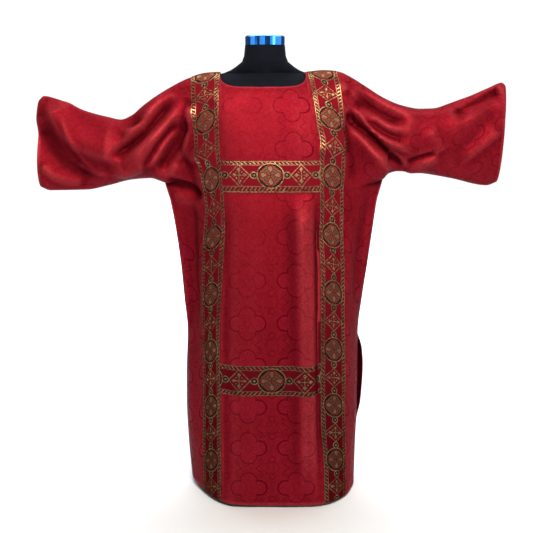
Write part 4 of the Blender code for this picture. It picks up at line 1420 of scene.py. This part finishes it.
@dataclass(frozen=True)
class Garment:
    """The dalmatic: two sheets and eight lengths of galloon."""

    cut: Cut = Cut()
    damask: SilkDamask = SilkDamask()
    galloon: MetalGalloon = MetalGalloon()
    first_medallion: float = 0.1755   # from the shoulder line down the front
    shoulder_ease: float = 0.024      # extra galloon taken up where it turns over the shoulder
    eased_over: float = 0.220
    chest_stretch: float = 1.035      # the level galloon is pulled a little longer when it is sewn down
    knee_stretch: float = 1.126
    chest_middle: float = 0.0020      # where a medallion lies on it, from the centre front
    knee_middle: float = 0.0000

    def build(self) -> list[bpy.types.Object]:
        """Builds every cloth piece.

        Returns:
            The pieces.
        """
        damask = self.damask.build()
        galloon = self.galloon.build()
        pieces = []
        for side in Side:
            drape = Drape(self.cut, side)
            word = side.name.lower()
            bands = self._bands(drape, word, galloon) + self._cross_bands(drape, word, galloon)
            sheet = self._sheet(drape, word, damask)
            pieces += [sheet, *bands]
        return pieces

    def _sheet(self, drape: Drape, word: str, material: bpy.types.Material) -> bpy.types.Object:
        """One T-shaped sheet.

        Args:
            drape: its grid.
            word: front or back.
            material: the damask.

        Returns:
            The piece.
        """
        cut = self.cut
        piece = shell(f"{word}_damask", drape.points - drape.normals * cut.wall, drape.points, drape.quads,
                      drape.grain, material)
        width = 2 * (cut.body_half + cut.sleeve_reach)
        length = float(drape.flat[:, 1].max())
        area = flat_area(drape.points, drape.quads)
        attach(piece, "root")
        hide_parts(word)
        log.info("%s: %.2f x %.2f m flat, %.2f m2", piece.name, width, length, area)
        return piece

    def _strip(self, drape: Drape, name: str, node: str, quads: np.ndarray, flat: np.ndarray,
               size: tuple[float, float], material: bpy.types.Material) -> bpy.types.Object:
        """A length of galloon laid on the sheet over some of its cells.

        Args:
            drape: the sheet's grid.
            name: the piece's name.
            node: the solid that it stands for.
            quads: the cells that it covers.
            flat: place across and along the galloon, for every point of the sheet.
            size: its flat width and length.
            material: the galloon.

        Returns:
            The piece.
        """
        cut = self.cut
        used, local = np.unique(quads, return_inverse=True)
        base, lift = drape.points[used], drape.normals[used]
        piece = shell(name, base + lift * cut.seam_gap, base + lift * (cut.seam_gap + cut.band_wall),
                      local.reshape(quads.shape), flat[used], material)
        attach(piece, "root")
        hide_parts(node)
        min(size[0] * size[1], flat_area(base, local.reshape(quads.shape)))
        log.info("%s: %.3f x %.2f m flat", name, *size)
        return piece

    def _column(self, drape: Drape, at: float) -> int:
        """The grid column that lies at a distance from the centre front."""
        return int(np.argmin(np.abs(drape.columns - at)))

    def _along(self, down: np.ndarray, side: Side) -> np.ndarray:
        """Place along a long band, from its first medallion, so that it runs on over the shoulder.

        Args:
            down: distances down the sheet from the shoulder line.
            side: front or back.

        Returns:
            Distances along the galloon.
        """
        if side is Side.BACK:
            return -self.first_medallion - self.shoulder_ease - down
        return down - self.first_medallion - self.shoulder_ease * (1 - ease(down / self.eased_over))

    def _bands(self, drape: Drape, word: str, material: bpy.types.Material) -> list[bpy.types.Object]:
        """The two long orphrey bands of a sheet.

        Args:
            drape: the sheet's grid.
            word: front or back.
            material: the galloon.

        Returns:
            The pieces.
        """
        cut, pieces = self.cut, []
        for hand in Hand:
            edges = sorted(self._column(drape, hand.value * e) for e in (cut.band_in, cut.band_out))
            upper = drape.cells(drape.yoke_id, 0, drape.yoke_rows, edges[0], edges[1])
            lower = drape.cells(drape.body_id, 0, len(drape.rows) - 1, edges[0], edges[1])
            flat = drape.flat.copy()
            flat[:, 0] -= hand.value * cut.band_centre
            flat[:, 1] = self._along(flat[:, 1], drape.side)
            quads = np.vstack([upper, lower])
            length = float(np.ptp(drape.flat[np.unique(quads), 1]))
            name = f"{word}_band_{hand.name.lower()}"
            node = f"band_{word}_{hand.name.lower()}"
            pieces.append(self._strip(drape, name, node, quads, flat, (cut.band_width, length), material))
        return pieces

    def _cross_bands(self, drape: Drape, word: str, material: bpy.types.Material) -> list[bpy.types.Object]:
        """The two level bands between the long ones.

        Args:
            drape: the sheet's grid.
            word: front or back.
            material: the galloon.

        Returns:
            The pieces.
        """
        cut = self.cut
        left, right = self._column(drape, -cut.band_in), self._column(drape, cut.band_in)
        knee_top = int(np.argmin(np.abs(drape.rows - cut.knee_band_low - cut.band_width)))
        knee_low = int(np.argmin(np.abs(drape.rows - cut.knee_band_low)))
        spans = [
            ("chest", drape.yoke_id, cut.yoke_steps, drape.yoke_rows, self.chest_middle, self.chest_stretch),
            ("knee", drape.body_id, knee_top, knee_low, self.knee_middle, self.knee_stretch),
        ]
        pieces = []
        for place, ids, top, low, middle, stretch in spans:
            quads = drape.cells(ids, top, low, left, right)
            flat = np.zeros_like(drape.flat)
            share = np.linspace(-0.5, 0.5, low - top + 1)[:, None] * cut.band_width
            block = ids[top:low + 1, left:right + 1]
            flat[block, 0] = share
            real = drape.grain[ids[low, left:right + 1], 0]
            flat[block, 1] = (real - middle) / stretch
            size = (cut.band_width, float(np.ptp(real)))
            name = f"{word}_crossband_{place}"
            node = f"crossband_{word}_{place}"
            pieces.append(self._strip(drape, name, node, quads, flat, size, material))
        return pieces


@dataclass(frozen=True)
class DisplayForm:
    """The limbless form and its stand, which keep their solids and get their finishes."""

    jersey: CottonJersey = CottonJersey()
    mirror: TintedChrome = TintedChrome()
    steel: BrushedSteel = BrushedSteel()

    def dress(self) -> None:
        """Gives each solid of the form and stand its finish."""
        jersey, mirror, steel = self.jersey.build(), self.mirror.build(), self.steel.build()
        finishes = {"form_torso": jersey, "form_neck_cap": mirror, "stand_pole": steel,
                    "stand_collar": steel, "stand_base": steel}
        for node, material in finishes.items():
            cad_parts[node].material_slots[0].material = material
            log.info("%s: %s", node, material.name)


@dataclass(frozen=True)
class SoftBox:
    """A soft box: where it stands and points, its width and height, its watts, and the angle it lights."""

    name: str
    at: tuple[float, float, float]
    to: tuple[float, float, float]
    size: tuple[float, float]
    power: float
    spread: float = math.radians(110.0)
    colour: str = "#fff0dc"

    def build(self) -> None:
        """Hangs the lamp."""
        data = bpy.data.lights.new(self.name, "AREA")
        data.shape, data.size, data.size_y = "RECTANGLE", self.size[0], self.size[1]
        data.energy, data.color, data.spread = self.power, linear(self.colour)[:3], self.spread
        aim = np.array(self.to) - np.array(self.at)
        light = add_object(self.name, data)
        light.location = self.at
        level = math.hypot(aim[0], aim[1])
        light.rotation_euler = (math.atan2(level, -aim[2]), 0, math.atan2(-aim[0], aim[1]))


SOFT_BOXES = [
    SoftBox("floor_wash", at=(0.0, 4.3, 3.6), to=(0.0, 4.3, 0.0), size=(7.0, 8.0), power=390.0,
            spread=math.radians(120.0), colour="#ffffff"),
    SoftBox("window", at=(0.20, -2.05, 2.60), to=(0.0, 0.0, 1.05), size=(1.1, 0.8), power=35.5),
    SoftBox("side_strip", at=(1.90, -1.60, 1.50), to=(0.0, 0.0, 0.90), size=(0.3, 1.6), power=3.0),
]
# which way each ray of the room's light comes from, and whether that is in one of the tall windows
WORLD_PATTERN = """
toward = y * -1
azimuth = arctan2 x toward
height_off = apart z middle_up
low = half_up - height_off
level = low * crisp_up clamped
{windows}
lit = sum * level
strips = lit * strip + surroundings
"""


@dataclass(frozen=True)
class Studio:
    """A pale floor, soft light from above and before, and the camera."""

    floor: FloorPaint = FloorPaint()
    camera_at: tuple[float, float, float] = (0.0045, -2.75, 1.286)
    camera_down: float = math.radians(12.0)
    sensor: float = 36.0         # mm
    focal_px: float = 911.0
    image_px: float = 533.0
    floor_half: float = 7.0
    backdrop: float = 1.05       # the world behind the garment, white to the eye
    behind_from: float = 0.86    # how far back a direction has to point to be behind it: 1 is straight back
    behind_full: float = 0.94
    surroundings: float = 0.125  # the rest of the room
    strip: float = 0.95          # tall windows round the room, which polished metal mirrors
    # the middle of each window and half its width, in degrees round the room
    windows: tuple[tuple[float, float], ...] = ((70.0, 40.0), (-11.0, 17.0), (-70.0, 18.0))
    crisp: float = 12.0
    middle_up: float = 0.045     # the windows' height and crispness, as the upright part of a direction
    half_up: float = 0.065
    crisp_up: float = 40.0

    def build(self) -> None:
        """Builds the studio."""
        self._camera()
        self._floor()
        self._world()
        for box in SOFT_BOXES:
            box.build()
        bpy.context.scene.view_settings.view_transform = "Standard"

    def _camera(self) -> None:
        """A long lens at chest height, tipped down."""
        data = bpy.data.cameras.new("camera")
        data.sensor_width = self.sensor
        data.lens = self.focal_px / self.image_px * self.sensor
        camera = add_object("camera", data)
        camera.location = self.camera_at
        camera.rotation_euler = (math.pi / 2 - self.camera_down, 0, 0)
        bpy.context.scene.camera = camera

    def _floor(self) -> None:
        """A plain white floor."""
        h = self.floor_half
        mesh = bpy.data.meshes.new("floor")
        mesh.from_pydata([(-h, -h, 0), (h, -h, 0), (h, h, 0), (-h, h, 0)], [], [(0, 1, 2, 3)])
        mesh.materials.append(self.floor.build())
        add_object("floor", mesh)

    def _world(self) -> None:
        """White behind the garment and dim elsewhere, so that the ground reads white and the cloth deep."""
        world = bpy.data.worlds.new("studio")
        bpy.context.scene.world = world
        world.use_nodes = True
        tree = world.node_tree
        tree.nodes.clear()
        add = partial(add_node, tree)
        way = add("SeparateXYZ", {}, {0: add("TexCoord").outputs["Generated"]}).outputs
        known = dict(vars(self), x=way["X"], y=way["Y"], z=way["Z"])
        lines = []
        for k, (middle, half) in enumerate(self.windows):
            known |= {f"middle{k}": math.radians(middle), f"half{k}": math.radians(half)}
            lines += [f"off{k} = apart azimuth middle{k}", f"in{k} = half{k} - off{k}",
                      f"on{k} = in{k} * crisp clamped"]
        lines.append("sum = largest " + " ".join(f"on{k}" for k in range(len(self.windows))))
        known = run_steps(tree, WORLD_PATTERN.format(windows="\n".join(lines)), known)
        behind = add("MapRange", {}, {"Value": way["Y"], "From Min": self.behind_from,
                                      "From Max": self.behind_full, "To Min": known["strips"],
                                      "To Max": self.backdrop})
        seen = add("LightPath").outputs["Is Camera Ray"]
        shown = add("MapRange", {}, {"Value": seen, "To Min": behind, "To Max": self.backdrop})
        light = add("Background", {}, {"Color": (1, 1, 1, 1), "Strength": shown})
        add("OutputWorld", {}, {"Surface": light})


def main() -> None:
    """Builds the studio, dresses the form, and builds the garment."""
    logging.basicConfig(level=logging.INFO, format="%(name)s: %(message)s")
    Studio().build()
    DisplayForm().dress()
    for piece in Garment().build():
        log.info("%s: %d faces", piece.name, len(piece.data.polygons))


if __name__ == "__main__":
    main()
